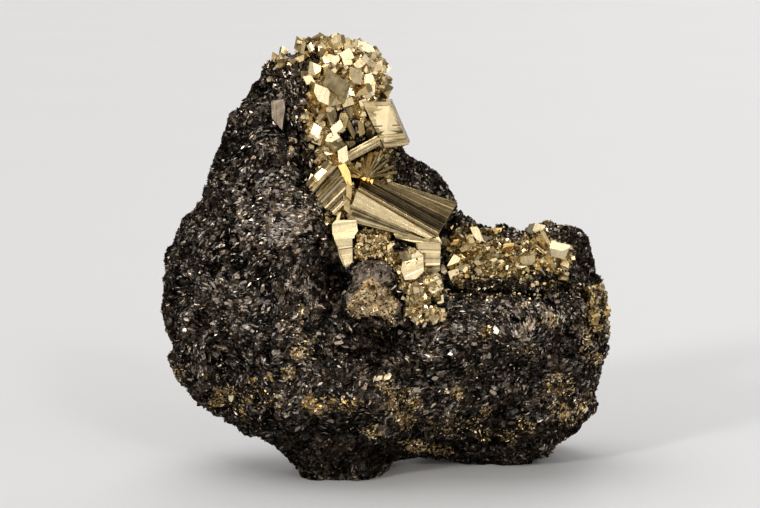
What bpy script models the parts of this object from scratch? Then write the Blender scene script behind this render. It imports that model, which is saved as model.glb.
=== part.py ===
"""Pyrite after pyrrhotite: a dark metallic mass on two feet, with brassy pyrite crystals grown on it.

Metres, +Z up, +X to the right and +Y away from the side with the crystals. The origin is under the
middle of the specimen, level with its feet. Sizes and places are written in millimetres and turned
into metres where a mesh is made.
"""
import math
import random

import bmesh
import bpy
from mathutils import Matrix, Vector, geometry, noise

MM = 0.001

# Driving sizes, in millimetres.
GAP = 0.3                   # kept between pieces that touch
CORNER_GAP = 0.5            # the same along the corners of a crystal
PRISM_HALF = 12.0           # half thickness of the flat blank that the mass is shaped from
COARSE_VOXEL = 1.7          # mesh size of the blank
FINE_VOXEL = 1.15           # mesh size of the mass before it is thinned out
SMOOTH_SHARE = 0.5          # how far each round of smoothing moves the points of that mesh
SMOOTH_ROUNDS = 3
MATRIX_TRIANGLES = 3600     # triangles kept on the mass
CRUST_TRIANGLES = 1000      # triangles of the whole coarse skin that the crusts are cut from
RIM_WIDTH = 13.0            # how far in from the outline the mass reaches its full depth
RIM_POWER = 2.3             # roundness of the rim
RIM_FLAT = 0.26             # share of the depth that the very edge already has
BLEND = 8.5                 # reach of each height in the relief
FAR_WEIGHT = 1e-4           # weight that a height keeps further away
WELD = 0.01                 # points nearer to each other than this are one
CRUST = 1.2                 # half thickness of the crust under small crystals
CRUST_MARGIN = 6.0          # how much deeper the skin of a crust reaches before it is cut out
SHOWN = 0.1                 # least turn of a face towards the side that a crust is seen from
FLAT_ANGLE = math.radians(0.7)  # faces that meet at less are one face
PLACE_TRIES = 14            # places tried for a small crystal; the one with most room is kept
UNEVEN = (0.75, 1.2)        # its three edges, as shares of its size
LEAN = 0.7                  # how far it leans away from the surface
SEAT = (0.5, 0.25)          # how far out it sits, as shares of the crust's half thickness and its edge
RIB_HEIGHT = 0.6            # how far the ridges of a striated face stand out
RIB_ROOT = 0.6              # how far they reach into the crystal
RIB_FOOT = 0.05             # how far their feet stand out
RIB_END = 0.015             # share of a face's length that is left free at both ends of a ridge
RIB_LOW, RIB_TOP, RIB_HIGH = 0.08, 0.22, 0.78    # lower foot, top and upper foot, in ridge spacings
FLOOR_REACH = 80.0          # half size of the box that cuts the feet flat
FLOOR_DEPTH = 20.0          # its depth

# Outline of the mass seen from the front, x and z. The lowest points lie under the floor: the feet
# are cut flat at z = 0.
OUTLINE = [
    (-21.8, 90.6), (-26.2, 88.2), (-29.4, 85.0), (-32.8, 81.0), (-34.6, 76.5), (-35.6, 72.0),
    (-38.2, 68.0), (-39.8, 63.0), (-40.6, 58.5), (-44.4, 57.2), (-46.0, 53.0), (-48.5, 48.0),
    (-49.9, 42.0), (-49.4, 36.0), (-49.4, 30.0), (-47.8, 24.5), (-45.8, 19.5), (-43.0, 15.5),
    (-37.5, 12.0), (-29.5, 8.0), (-23.0, 5.5), (-20.0, 1.5), (-17.5, -2.3), (-9.0, -3.0),
    (-3.5, -2.3), (1.0, 1.2), (5.0, 3.2), (10.5, 2.6), (16.0, 1.4), (19.0, -2.3), (26.5, -3.0),
    (31.5, -2.0), (36.8, 1.8), (41.8, 5.2), (44.8, 9.2), (47.6, 13.0), (48.0, 20.5), (49.4, 24.0),
    (49.4, 29.0), (48.2, 37.0), (47.2, 43.5), (47.0, 49.8), (44.3, 53.0), (38.0, 52.6),
    (32.0, 50.9), (21.5, 51.2), (17.2, 54.8), (15.0, 59.6), (11.5, 64.4), (7.8, 68.8),
    (3.4, 71.4), (0.8, 74.4), (-0.8, 80.0), (-0.9, 84.5), (-1.8, 89.3), (-4.8, 92.2), (-15.0, 93.3),
]

# Heights of the relief: place, x, z and the y that the surface has there.
FRONT_RELIEF = [
    ("crest", -12.0, 88.0, -7.0),
    ("peak at the left", -28.5, 78.5, -6.0),
    ("peak at the middle", -20.5, 77.0, -11.0),
    ("top of the band", -8.8, 76.5, -7.5),
    ("seat of the plate", -0.5, 77.0, -3.5),
    ("left shoulder", -33.0, 61.5, -10.0),
    ("upper face", -22.5, 60.0, -16.5),
    ("middle of the band", -9.5, 61.5, -10.5),
    ("hump", 9.0, 66.0, -3.0),
    ("seat of the large prism", 4.0, 58.5, -7.5),
    ("left edge", -44.0, 41.0, -6.0),
    ("left face", -31.5, 42.5, -15.5),
    ("middle face", -17.0, 47.0, -19.0),
    ("seat of the lumps", -3.5, 44.0, -16.0),
    ("lower left", -37.5, 24.5, -12.5),
    ("lower face", -22.5, 28.0, -21.0),
    ("low middle", -8.0, 24.0, -22.5),
    ("seat of the tail", 7.5, 40.5, -15.5),
    ("under the tail", 8.0, 30.0, -17.0),
    ("shoulder at the left", 17.5, 50.0, 0.0),
    ("shoulder at the middle", 29.0, 48.5, 0.0),
    ("shoulder at the right", 41.0, 49.0, 3.0),
    ("lip of the shoulder", 25.0, 43.0, -12.5),
    ("block", 25.0, 36.0, -18.0),
    ("block at the right", 39.0, 35.0, -11.0),
    ("low right", 36.5, 18.5, -7.5),
    ("low centre", 18.5, 18.0, -15.5),
    ("left foot", -9.0, 8.0, -17.0),
    ("right foot", 26.0, 5.0, -3.0),
]
BACK_RELIEF = [
    ("crest", -12.0, 86.0, 8.0),
    ("peak", -29.0, 76.0, 7.0),
    ("neck", -14.0, 68.0, 15.0),
    ("hump", 8.0, 61.0, 12.0),
    ("left shoulder", -34.0, 58.0, 12.0),
    ("left side", -38.0, 40.0, 15.0),
    ("middle", -14.0, 46.0, 22.5),
    ("lower left", -32.0, 24.0, 15.0),
    ("low middle", -6.0, 26.0, 25.0),
    ("left foot", -10.0, 5.0, 6.0),
    ("shoulder", 30.0, 47.0, 19.0),
    ("block", 28.0, 30.0, 27.0),
    ("right side", 43.0, 28.0, 19.0),
    ("right foot", 27.0, 7.0, 24.0),
]
RIM_RELIEF = [
    ("crest", -12.0, 92.0, 0.0),
    ("left peak", -31.0, 84.0, 0.0),
    ("left ledge", -42.5, 58.0, 1.0),
    ("left side", -49.0, 38.0, 2.0),
    ("lower left", -42.0, 17.0, 0.5),
    ("left foot", -12.0, 0.0, -6.0),
    ("between the feet", 8.0, 2.0, 3.0),
    ("right foot", 26.0, 0.0, 10.0),
    ("lower right", 44.0, 11.0, 8.0),
    ("right side", 50.0, 28.0, 7.0),
    ("right shoulder", 45.0, 50.0, 9.0),
    ("shoulder", 28.0, 54.0, 10.0),
    ("saddle", 16.0, 59.0, 5.0),
    ("hump", 10.0, 66.0, 3.0),
    ("neck", 1.0, 76.0, 1.0),
]

# Hollows and bulges of the front: place, x, z, half width, half height, how far into the mass.
HOLLOWS = [
    ("cavity beside the lumps", -12.0, 45.0, 2.4, 4.6, 4.5),
    ("recess under the tail", 4.8, 31.5, 6.0, 2.2, 3.2),
    ("groove under the shoulder", 28.0, 41.5, 11.0, 1.6, 1.8),
    ("block", 27.0, 36.5, 13.0, 5.0, -2.6),
    ("undercut of the block", 27.0, 28.5, 14.0, 2.4, 2.4),
    ("light bulge", 11.0, 28.0, 3.6, 2.6, -2.0),
    ("upright ridge", 41.5, 40.0, 1.8, 10.0, -2.0),
    ("cheek", -20.0, 60.0, 6.0, 8.0, -1.8),
    ("dip of the left face", -29.0, 50.0, 5.0, 5.0, 1.6),
    ("left ledge", -44.0, 52.0, 4.0, 5.0, -1.5),
    ("dip over the left ledge", -40.0, 60.5, 4.0, 2.0, 1.5),
    ("lower swell", -30.0, 31.0, 7.0, 5.0, -1.6),
    ("trough of the lower face", -12.0, 34.0, 9.0, 2.4, 1.5),
    ("notch over the left foot", -24.0, 11.0, 4.0, 3.0, 2.0),
    ("valley between the feet", 10.0, 7.0, 5.0, 6.0, 2.5),
]
BACK_HOLLOWS = [
    ("back ledge", -10.0, 52.0, 16.0, 3.0, 2.4),
    ("back swell", 4.0, 40.0, 9.0, 8.0, -2.4),
    ("back pit", -24.0, 34.0, 4.0, 3.0, 2.6),
    ("back notch", 20.0, 22.0, 5.0, 7.0, 2.4),
    ("back cheek", -26.0, 62.0, 6.0, 6.0, -1.8),
]

# Rough break of the mass: the span of its tilted facets and how far they lean out, then the same of
# the slow swell under them.
FACETS = [(13.0, 1.9), (5.5, 0.85)]
SWELL_SPAN = 16.0
SWELL_HEIGHT = 0.9
SWELL_LAYERS = (0.9, 2.1, 3)    # roughness, step from layer to layer and number of layers
TILT_SEED = 37.0            # turns a facet's place into its own tilt

# Regions of the crusts of small crystals, x and z as seen from the front.
CREST_REGION = [
    (-24.6, 91.5), (-25.4, 87.0), (-21.5, 84.0), (-18.5, 81.0), (-17.5, 75.0), (-15.5, 67.0),
    (-13.0, 57.0), (-7.0, 57.0), (-5.0, 64.0), (1.0, 66.0), (2.5, 73.0), (1.0, 99.0), (-25.0, 99.0),
]
TAIL_REGION = [
    (-6.8, 56.0), (2.5, 55.5), (4.0, 51.0), (12.0, 48.0), (12.0, 41.0), (10.5, 36.0), (7.0, 35.0),
    (3.0, 37.5), (1.5, 42.0), (-1.0, 47.0), (-6.8, 49.5),
]
SHOULDER_REGION = [
    (15.5, 56.0), (42.0, 56.0), (41.5, 45.0), (38.0, 41.0), (25.0, 42.0), (15.0, 41.5), (13.5, 47.0),
]
FLANK_REGION = [(44.5, 41.0), (56.0, 41.0), (56.0, 29.0), (44.0, 30.0)]

# The crusts: region, nearest and furthest depth y, the side that they are seen from, the number of
# crystals, their smallest and largest edge, and the seed of their places.
CREST = (CREST_REGION, -40.0, 4.0, (-0.1, -1.0, 0.7), 40, (2.1, 3.6), 4)
TAIL = (TAIL_REGION, -40.0, 0.0, (0.0, -1.0, 0.2), 14, (1.7, 2.7), 9)
SHOULDER = (SHOULDER_REGION, -40.0, 9.0, (0.0, -0.6, 1.0), 25, (1.7, 2.7), 6)
FLANK = (FLANK_REGION, -7.0, 9.0, (1.0, -0.4, 0.2), 8, (1.7, 2.7), 12)
CALM = 0.3                  # share of the rough break that is left under a crust
EVERYWHERE = [(-80.0, -20.0), (80.0, -20.0), (80.0, 120.0), (-80.0, 120.0)]

PYRITE = (0.62, 0.52, 0.30, 1.0)
PYRITE_PALE = (0.74, 0.68, 0.50, 1.0)
PYRITE_GOLD = (0.66, 0.46, 0.18, 1.0)
PYRRHOTITE = (0.10, 0.09, 0.085, 1.0)
RELICT = (0.26, 0.22, 0.17, 1.0)


def new_collection(name, hidden=False):
    """A collection of the scene; the shapes in a hidden one only cut or guide."""
    collection = bpy.data.collections.new(name)
    bpy.context.scene.collection.children.link(collection)
    collection.hide_render = hidden
    return collection


def add_object(name, mesh, collection):
    obj = bpy.data.objects.new(name, mesh)
    collection.objects.link(obj)
    return obj


def metallic(name, color, roughness):
    material = bpy.data.materials.new(name)
    material.use_nodes = True
    shader = material.node_tree.nodes["Principled BSDF"]
    shader.inputs["Base Color"].default_value = color
    shader.inputs["Metallic"].default_value = 1.0
    shader.inputs["Roughness"].default_value = roughness
    return material


def evaluated_mesh(obj):
    """The mesh of an object in world space, with its modifiers applied."""
    bpy.context.view_layer.update()
    depsgraph = bpy.context.evaluated_depsgraph_get()
    mesh = bpy.data.meshes.new_from_object(obj.evaluated_get(depsgraph))
    mesh.transform(obj.matrix_world)
    return mesh


def remove_object(obj):
    bpy.data.objects.remove(obj, do_unlink=True)


def with_modifier(mesh, kind, **settings):
    """The mesh that one modifier makes of a mesh."""
    obj = add_object("shape", mesh, guides)
    modifier = obj.modifiers.new(kind.title(), kind)
    for key, value in settings.items():
        setattr(modifier, key, value)
    result = evaluated_mesh(obj)
    remove_object(obj)
    return result


def combined(mesh, others, operation):
    """A mesh joined with, or cut by, a list of other closed meshes.

    The crusts cross the facets of the mass at grazing angles, where the exact solver leaves overlaps,
    so these joins and cuts use the manifold solver.
    """
    if not others:
        return mesh
    operands = new_collection("operands", hidden=True)
    pieces = [add_object("operand", other, operands) for other in others]
    result = with_modifier(mesh, "BOOLEAN", operation=operation, operand_type="COLLECTION",
                           collection=operands, solver="MANIFOLD")
    for piece in pieces:
        remove_object(piece)
    bpy.data.collections.remove(operands)
    return result


def largest_body(mesh):
    """Keeps the largest body of a mesh, without chips that a cut has left loose."""
    bm = bmesh.new()
    bm.from_mesh(mesh)
    unseen = set(bm.faces)
    bodies = []
    while unseen:
        front = [unseen.pop()]
        body = list(front)
        while front:
            face = front.pop()
            for edge in face.edges:
                for other in edge.link_faces:
                    if other in unseen and len(edge.link_faces) == 2:
                        unseen.remove(other)
                        front.append(other)
                        body.append(other)
        bodies.append(body)
    bodies.sort(key=lambda body: sum(face.calc_area() for face in body))
    chips = [face for body in bodies[:-1] for face in body]
    bmesh.ops.delete(bm, geom=chips, context="FACES")
    bm.to_mesh(mesh)
    bm.free()
    return mesh


def relief(points, x, z):
    """The height that the nearby points of a relief give at a place."""
    total = 0.0
    weights = 0.0
    for _, point_x, point_z, height in points:
        distance = math.hypot(x - point_x, z - point_z) / BLEND
        weight = math.exp(-distance * distance) + FAR_WEIGHT / (1.0 + distance ** 4)
        total += weight * height
        weights += weight
    return total / weights


def outline_distance(x, z):
    """How far a place lies from the outline of the mass."""
    place = Vector((x, z))
    nearest = 1e9
    for index, start in enumerate(OUTLINE):
        start = Vector(start)
        end = Vector(OUTLINE[(index + 1) % len(OUTLINE)])
        foot, share = geometry.intersect_point_line(place, start, end)
        foot = start if share < 0.0 else end if share > 1.0 else foot
        nearest = min(nearest, (place - foot.to_2d()).length)
    return nearest


def hollow(hollows, x, z):
    """How far the hollows reach into the mass at a place."""
    depth = 0.0
    for _, centre_x, centre_z, half_width, half_height, into in hollows:
        across = (x - centre_x) / half_width
        upward = (z - centre_z) / half_height
        depth += into * math.exp(-(across * across + upward * upward))
    return depth


def shaped(place):
    """Where a point of the flat blank comes to lie on the rounded mass."""
    x, y, z = place / MM
    inward = min(outline_distance(x, z) / RIM_WIDTH, 1.0)
    rise = (1.0 - (1.0 - inward) ** RIM_POWER) ** (1.0 / RIM_POWER)
    rise = RIM_FLAT + (1.0 - RIM_FLAT) * rise
    rim = relief(RIM_RELIEF, x, z)
    front = relief(FRONT_RELIEF, x, z) + hollow(HOLLOWS, x, z) * rise
    back = relief(BACK_RELIEF, x, z) - hollow(BACK_HOLLOWS, x, z) * rise
    share = max(-1.0, min(1.0, y / PRISM_HALF))
    face = front if share < 0.0 else back
    return Vector((x, rim + (face - rim) * rise * abs(share), z)) * MM


def broken(place, normal):
    """How far the rough break lifts or lowers a point: tilted facets on a slow swell."""
    point = place / MM
    lift = noise.fractal(point / SWELL_SPAN, *SWELL_LAYERS) * SWELL_HEIGHT
    for span, height in FACETS:
        nearest = noise.voronoi(point / span)[1][0]
        tilt = noise.cell_vector(nearest * TILT_SEED)
        lift += tilt.dot(point / span - nearest) * height
    for region, near, far, *_ in (CREST, TAIL, SHOULDER, FLANK):
        if inside(region, point.x, point.z) and near < point.y < far:
            lift *= CALM
    return normal * lift * MM


def plate(points, near, far):
    """A closed outline, x and z, as a flat plate between two depths y."""
    curve = bpy.data.curves.new("outline", "CURVE")
    curve.dimensions = "2D"
    curve.fill_mode = "BOTH"
    curve.extrude = (far - near) / 2.0 * MM
    spline = curve.splines.new("POLY")
    spline.points.add(len(points) - 1)
    for point, (x, z) in zip(spline.points, points):
        point.co = (x * MM, z * MM, 0.0, 1.0)
    spline.use_cyclic_u = True
    outline = add_object("outline", curve, guides)
    outline.rotation_euler = (math.radians(90.0), 0.0, 0.0)
    outline.location = (0.0, (near + far) / 2.0 * MM, 0.0)
    mesh = evaluated_mesh(outline)
    remove_object(outline)
    bm = bmesh.new()
    bm.from_mesh(mesh)
    bmesh.ops.remove_doubles(bm, verts=bm.verts, dist=WELD * MM)
    bmesh.ops.recalc_face_normals(bm, faces=bm.faces)
    bm.to_mesh(mesh)
    bm.free()
    return mesh


def box_mesh(low, high):
    """A box between two corners, in millimetres."""
    bm = bmesh.new()
    bmesh.ops.create_cube(bm, size=1.0)
    size = Vector(high) - Vector(low)
    middle = (Vector(high) + Vector(low)) / 2.0
    for vertex in bm.verts:
        vertex.co = Vector(a * b for a, b in zip(vertex.co, size)) + middle
        vertex.co *= MM
    return finished(bm)


def finished(bm):
    mesh = bpy.data.meshes.new("shape")
    bm.to_mesh(mesh)
    bm.free()
    return mesh


def matrix_mesh():
    """The mass: the plate rounded to its relief, broken into facets, thinned out and cut flat below."""
    blank = plate(OUTLINE, -PRISM_HALF, PRISM_HALF)
    mesh = with_modifier(blank, "REMESH", mode="VOXEL", voxel_size=COARSE_VOXEL * MM)
    for vertex in mesh.vertices:
        vertex.co = shaped(vertex.co)
    mesh = with_modifier(mesh, "REMESH", mode="VOXEL", voxel_size=FINE_VOXEL * MM)
    mesh = with_modifier(mesh, "SMOOTH", factor=SMOOTH_SHARE, iterations=SMOOTH_ROUNDS)
    moves = [broken(vertex.co, vertex.normal) for vertex in mesh.vertices]
    for vertex, move in zip(mesh.vertices, moves):
        vertex.co += move
    ratio = MATRIX_TRIANGLES / (2.0 * len(mesh.polygons))
    mesh = with_modifier(mesh, "DECIMATE", ratio=ratio)
    floor = box_mesh((-FLOOR_REACH, -FLOOR_REACH, -FLOOR_DEPTH), (FLOOR_REACH, FLOOR_REACH, 0.0))
    return with_modifier(largest_body(combined(mesh, [floor], "DIFFERENCE")), "TRIANGULATE")


def offset_mesh(mesh, distance):
    """A copy of a mesh with its skin moved outward by a distance in millimetres."""
    copy = mesh.copy()
    normals = [vertex.normal.copy() for vertex in copy.vertices]
    for vertex, normal in zip(copy.vertices, normals):
        vertex.co += normal * distance * MM
    return copy


def hull(corners):
    """The solid with flat faces that has these corners, in millimetres."""
    bm = bmesh.new()
    for corner in corners:
        bm.verts.new(Vector(corner) * MM)
    result = bmesh.ops.convex_hull(bm, input=bm.verts)
    spare = [item for item in result["geom_interior"] if isinstance(item, bmesh.types.BMVert)]
    bmesh.ops.delete(bm, geom=spare, context="VERTS")
    bmesh.ops.recalc_face_normals(bm, faces=bm.faces)
    return finished(bm)


def with_margin(mesh):
    """The hull of a crystal with the gap added all round, to cut what grew against it."""
    around = hull([vertex.co / MM for vertex in mesh.vertices])
    return offset_mesh(around, CORNER_GAP)


def crystal(centre, size, turn):
    """A cube-like crystal: centre and edge lengths in millimetres, turned by a rotation matrix."""
    bm = bmesh.new()
    bmesh.ops.create_cube(bm, size=1.0)
    for vertex in bm.verts:
        local = Vector(a * b for a, b in zip(vertex.co, size))
        vertex.co = (turn @ local + Vector(centre)) * MM
    return finished(bm)


def along(direction, roll=0.0):
    """A rotation that turns the z axis to a direction, rolled about it by some degrees."""
    turn = Vector(direction).to_track_quat("Z", "Y").to_matrix()
    return turn @ Matrix.Rotation(math.radians(roll), 3, "Z")


def prism(start, end, width, depth, roll=0.0):
    """A slender crystal between two ends, in millimetres."""
    start = Vector(start)
    end = Vector(end)
    size = (width, depth, (end - start).length)
    return crystal((start + end) / 2.0, size, along(end - start, roll))


def inside(region, x, z):
    """Whether a place lies in a region drawn as seen from the front."""
    within = False
    for index, (x1, z1) in enumerate(region):
        x2, z2 = region[index - 1]
        if (z1 > z) != (z2 > z) and x < (x2 - x1) * (z - z1) / (z2 - z1) + x1:
            within = not within
    return within


def patch_faces(mesh, region, near, far, shown):
    """The faces of a mesh in a region and depth that turn less than a right angle from shown."""
    chosen = []
    shown = Vector(shown).normalized()
    for face in mesh.polygons:
        centre = face.center / MM
        if inside(region, centre.x, centre.z) and near < centre.y < far:
            if face.normal.dot(shown) > SHOWN:
                chosen.append(face.index)
    return chosen


def crust_mesh(skin, region, near, far, shown):
    """A crust over a region of the mass, half in and half out of it."""
    keep = set(patch_faces(skin, EVERYWHERE, near - CRUST_MARGIN, far + CRUST_MARGIN, shown))
    bm = bmesh.new()
    bm.from_mesh(skin)
    spare = [face for face in bm.faces if face.index not in keep]
    bmesh.ops.delete(bm, geom=spare, context="FACES")
    crust = with_modifier(finished(bm), "SOLIDIFY", thickness=2.0 * CRUST * MM, offset=0.0)
    return combined(with_modifier(crust, "TRIANGULATE"), [plate(region, near, far)], "INTERSECT")


def scattered(mesh, chosen, count, draw):
    """Places spread over some faces of a mesh, each with the outward direction there."""
    areas = [mesh.polygons[index].area for index in chosen]
    places = []
    for _ in range(count):
        best = None
        for _ in range(PLACE_TRIES):
            face = mesh.polygons[draw.choices(chosen, areas)[0]]
            corners = [mesh.vertices[index].co for index in face.vertices]
            shares = [draw.random() for _ in corners]
            point = sum((c * s for c, s in zip(corners, shares)), Vector()) / sum(shares)
            clear = min(((point - other).length for other, _ in places), default=1.0)
            if best is None or clear > best[0]:
                best = (clear, point, face.normal.copy())
        places.append(best[1:])
    return places


def druse(mass, coarse, region, near, far, shown, count, sizes, seed):
    """A crust with small cube-like crystals, all turned their own way."""
    draw = random.Random(seed)
    crystals = []
    chosen = patch_faces(mass, region, near, far, shown)
    for point, normal in scattered(mass, chosen, count, draw):
        edge = draw.uniform(*sizes)
        size = [edge * draw.uniform(*UNEVEN) for _ in range(3)]
        lean = Vector([draw.uniform(-LEAN, LEAN) for _ in range(3)])
        turn = along(normal + lean, draw.uniform(0.0, 90.0))
        centre = point / MM + normal * (SEAT[0] * CRUST + SEAT[1] * edge)
        crystals.append(crystal(centre, size, turn))
    return crust_mesh(coarse, region, near, far, shown), crystals


def between(start, end, share):
    return Vector(start).lerp(Vector(end), share)


def ribs(left_edge, right_edge, count, outward):
    """Ridges across a face, from points spread along one edge to points along the other."""
    pieces = []
    for index in range(count):
        low = (index + RIB_LOW) / count
        high = (index + RIB_HIGH) / count
        crest = (index + RIB_TOP) / count
        corners = []
        for end in (RIB_END, 1.0 - RIB_END):
            base_low = path_point(left_edge, low).lerp(path_point(right_edge, low), end)
            base_high = path_point(left_edge, high).lerp(path_point(right_edge, high), end)
            top = path_point(left_edge, crest).lerp(path_point(right_edge, crest), end)
            corners += [base_low - outward * RIB_ROOT, base_high - outward * RIB_ROOT]
            corners += [base_low + outward * RIB_FOOT, base_high + outward * RIB_FOOT]
            corners.append(top + outward * RIB_HEIGHT)
        pieces.append(corners)
    return pieces


def path_point(path, share):
    """The point at a share of the length of a path of straight legs."""
    legs = [(Vector(b) - Vector(a)).length for a, b in zip(path, path[1:])]
    left = share * sum(legs)
    for leg, start, end in zip(legs, path, path[1:]):
        if left <= leg:
            return between(start, end, left / leg)
        left -= leg
    return Vector(path[-1])


def slab_pieces():
    """The pale flat plate: its broad face looks forward and its right edge overhangs the mass. A
    step of the same outline, a share of its size, stands out at its middle."""
    face = [(-5.2, -7.6, 82.8), (1.0, -5.4, 82.4), (5.0, -5.6, 73.1), (-0.2, -8.4, 72.6)]
    back = [(x + 0.4, y + 4.6, z + 0.4) for x, y, z in face]
    share, rise, sink = 0.55, 0.5, 2.0
    step = [(x * share - 0.4, y - rise, z * share + 35.2) for x, y, z in face]
    sunk = [(x, y + sink, z) for x, y, z in step]
    return [hull(face + back), hull(step + sunk)]


def bar_pieces():
    """The striped bar that rises to the right."""
    low_left, low_right = (-8.8, -11.4, 69.4), (-0.8, -8.0, 73.4)
    up_left, up_right = (-8.2, -10.4, 72.0), (-0.6, -7.2, 75.9)
    face = [low_left, low_right, up_right, up_left]
    back = [(x + 0.5, y + 5.0, z + 0.3) for x, y, z in face]
    outward = Vector((0.3, -0.9, 0.25)).normalized()
    lines = ribs([low_left, up_left], [low_right, up_right], 3, outward)
    return [hull(corners) for corners in [face + back] + lines]


def blade_pieces():
    """The large striated prism: a dark face up and forward, a bright narrow one below its long edge."""
    ridge_left, ridge_right = (-6.2, -13.4, 63.7), (11.1, -13.6, 53.8)
    top_left, top_middle, top_right = (-5.1, -10.4, 66.2), (0.7, -7.6, 65.3), (15.8, -4.6, 60.2)
    low_left, low_middle, low_right = (-7.5, -12.2, 61.6), (1.4, -12.4, 55.7), (7.4, -12.0, 53.2)
    back = [(-4.0, -4.0, 62.0), (2.0, -2.5, 56.0), (12.0, -3.0, 55.5), (3.0, -3.0, 63.5)]
    corners = [ridge_left, ridge_right, top_left, top_middle, top_right]
    corners += [low_left, low_middle, low_right] + back
    upward = Vector((0.37, -0.68, 0.64))
    forward = Vector((-0.19, -0.92, -0.33))
    lines = ribs([ridge_left, top_left, top_middle], [ridge_right, top_right], 7, upward)
    lines += ribs([low_left, ridge_left], [low_right, ridge_right], 2, forward)
    return [hull(points) for points in [corners] + lines]


def spray_pieces():
    """Slender dark prisms that spread over the left end of the large prism."""
    root = (-5.6, -10.2, 65.6)
    tips = [(-7.4, -11.6, 69.6), (-5.4, -11.0, 70.6), (-3.2, -9.8, 70.2), (-1.2, -8.6, 68.8),
            (0.4, -7.4, 67.0)]
    width, depth, roll = 1.5, 2.6, 25.0
    pieces = [prism(root, tip, width, depth, roll) for tip in tips]
    pieces.append(crystal((-4.6, -11.2, 66.8), (2.0, 2.0, 1.8), along((0.3, -1.0, 0.5), 30.0)))
    return pieces


def fan_pieces():
    """Striated prisms side by side, spreading to the left of the band."""
    starts = [(-16.4, -14.2, 64.6), (-15.6, -14.9, 63.0), (-14.4, -15.4, 61.6), (-13.2, -15.7, 60.4),
              (-11.9, -15.8, 59.3)]
    ends = [(-11.6, -12.4, 69.8), (-9.8, -12.6, 69.0), (-8.6, -12.9, 67.4), (-7.8, -13.2, 65.6),
            (-7.4, -13.4, 63.6)]
    width, depth = 2.0, 3.4
    rolls = (-20.0, -8.0)
    pieces = []
    for index, (start, end) in enumerate(zip(starts, ends)):
        pieces.append(prism(start, end, width, depth, rolls[index % 2]))
    return pieces


def block_pieces():
    """The bright upright block under the fan."""
    face = [(-11.5, -16.8, 57.4), (-8.7, -16.4, 57.8), (-6.2, -15.0, 56.2), (-7.6, -17.2, 48.5),
            (-8.6, -17.6, 47.7), (-9.8, -18.6, 51.6), (-11.8, -18.0, 54.6)]
    back = [(x + 0.8, y + 5.0, z + 0.4) for x, y, z in face]
    return [hull(face + back)]


def stepped_pieces():
    """The striated block below the large prism, in steps that reach further out one over the other."""
    steps = [
        ((1.2, -12.4, 54.6), (11.3, -10.6, 52.6), 1.9),
        ((5.2, -12.0, 52.2), (11.6, -10.9, 51.0), 1.9),
        ((3.4, -12.6, 50.0), (11.9, -11.2, 49.2), 1.6),
        ((3.2, -13.0, 48.3), (12.1, -11.5, 47.6), 1.7),
    ]
    pieces = []
    for left, right, height in steps:
        front = [left, right]
        below = [(x, y + 0.5, z - height) for x, y, z in front]
        rear = [(x, y + 5.5, z) for x, y, z in front + below]
        pieces.append(hull(front + below + rear))
    core = [(1.6, -9.5, 54.0), (11.0, -8.0, 52.0), (11.8, -8.5, 46.5), (3.6, -10.0, 46.6)]
    pieces.append(hull(core + [(x, y + 4.0, z) for x, y, z in core]))
    return pieces


def lump_pieces():
    """Smooth lumps that stand out below the block: centre, half sizes and seed of each."""
    lumps = [((-3.0, -16.4, 46.2), (5.2, 3.9, 3.0), 3), ((-3.8, -17.4, 41.2), (5.0, 4.4, 4.2), 5),
             ((0.2, -17.0, 39.2), (3.2, 3.6, 2.8), 13)]
    wobble_height, wobble_scale = 0.3, 1.7
    pieces = []
    for centre, half_sizes, seed in lumps:
        bm = bmesh.new()
        bmesh.ops.create_icosphere(bm, subdivisions=2, radius=1.0)
        for vertex in bm.verts:
            at = vertex.co * wobble_scale + Vector((seed, 0.0, 0.0))
            wobble = 1.0 + wobble_height * noise.noise(at)
            local = Vector(a * b * wobble for a, b in zip(vertex.co, half_sizes))
            vertex.co = (local + Vector(centre)) * MM
        pieces.append(finished(bm))
    return pieces


def tail_blocks():
    """The larger crystals of the bright tail."""
    return [
        hull([(4.0, -15.4, 50.8), (7.5, -14.6, 51.0), (8.1, -15.0, 46.8), (3.5, -15.6, 47.2),
              (4.4, -11.0, 50.8), (7.9, -10.4, 51.0), (8.5, -10.8, 46.8), (3.9, -11.0, 47.2)]),
        crystal((10.2, -15.0, 44.6), (2.6, 2.2, 3.0), along((0.4, -1.0, 0.3), 20.0)),
        crystal((6.4, -16.6, 42.6), (3.0, 2.4, 2.4), along((-0.2, -1.0, 0.2), 55.0)),
    ]


def shoulder_blocks():
    """The larger crystals of the shoulder: a bright cube, a block and two thin bars."""
    return [
        crystal((33.4, 1.2, 51.6), (2.4, 2.2, 2.2), along((-0.3, -1.0, 0.7), 15.0)),
        crystal((37.6, -1.4, 48.8), (3.6, 2.6, 3.0), along((0.2, -1.0, 0.5), 35.0)),
        crystal((40.0, -2.2, 46.4), (1.7, 1.7, 1.7), along((0.3, -1.0, 0.3), 60.0)),
        crystal((35.2, 0.0, 50.0), (2.4, 1.6, 2.6), along((0.5, -1.0, 0.9), 70.0)),
        prism((31.4, -2.0, 48.4), (37.0, -5.4, 44.4), 0.9, 1.8, 10.0),
        prism((30.2, -3.0, 47.4), (35.6, -6.4, 43.4), 0.9, 1.8, 10.0),
        crystal((19.4, -3.4, 49.4), (2.4, 2.0, 3.4), along((-0.2, -1.0, 0.6), 5.0)),
    ]


def cut_to_fit(base, pieces, cutters, mass):
    """Joins the pieces of a node and cuts it to fit the mass and the crystals that it grew on."""
    mesh = combined(base, pieces, "UNION")
    mesh = combined(mesh, cutters, "DIFFERENCE")
    mesh = largest_body(combined(mesh, [mass], "DIFFERENCE"))
    mesh = with_modifier(mesh, "DECIMATE", decimate_type="DISSOLVE", angle_limit=FLAT_ANGLE)
    return with_modifier(mesh, "TRIANGULATE")


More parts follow.
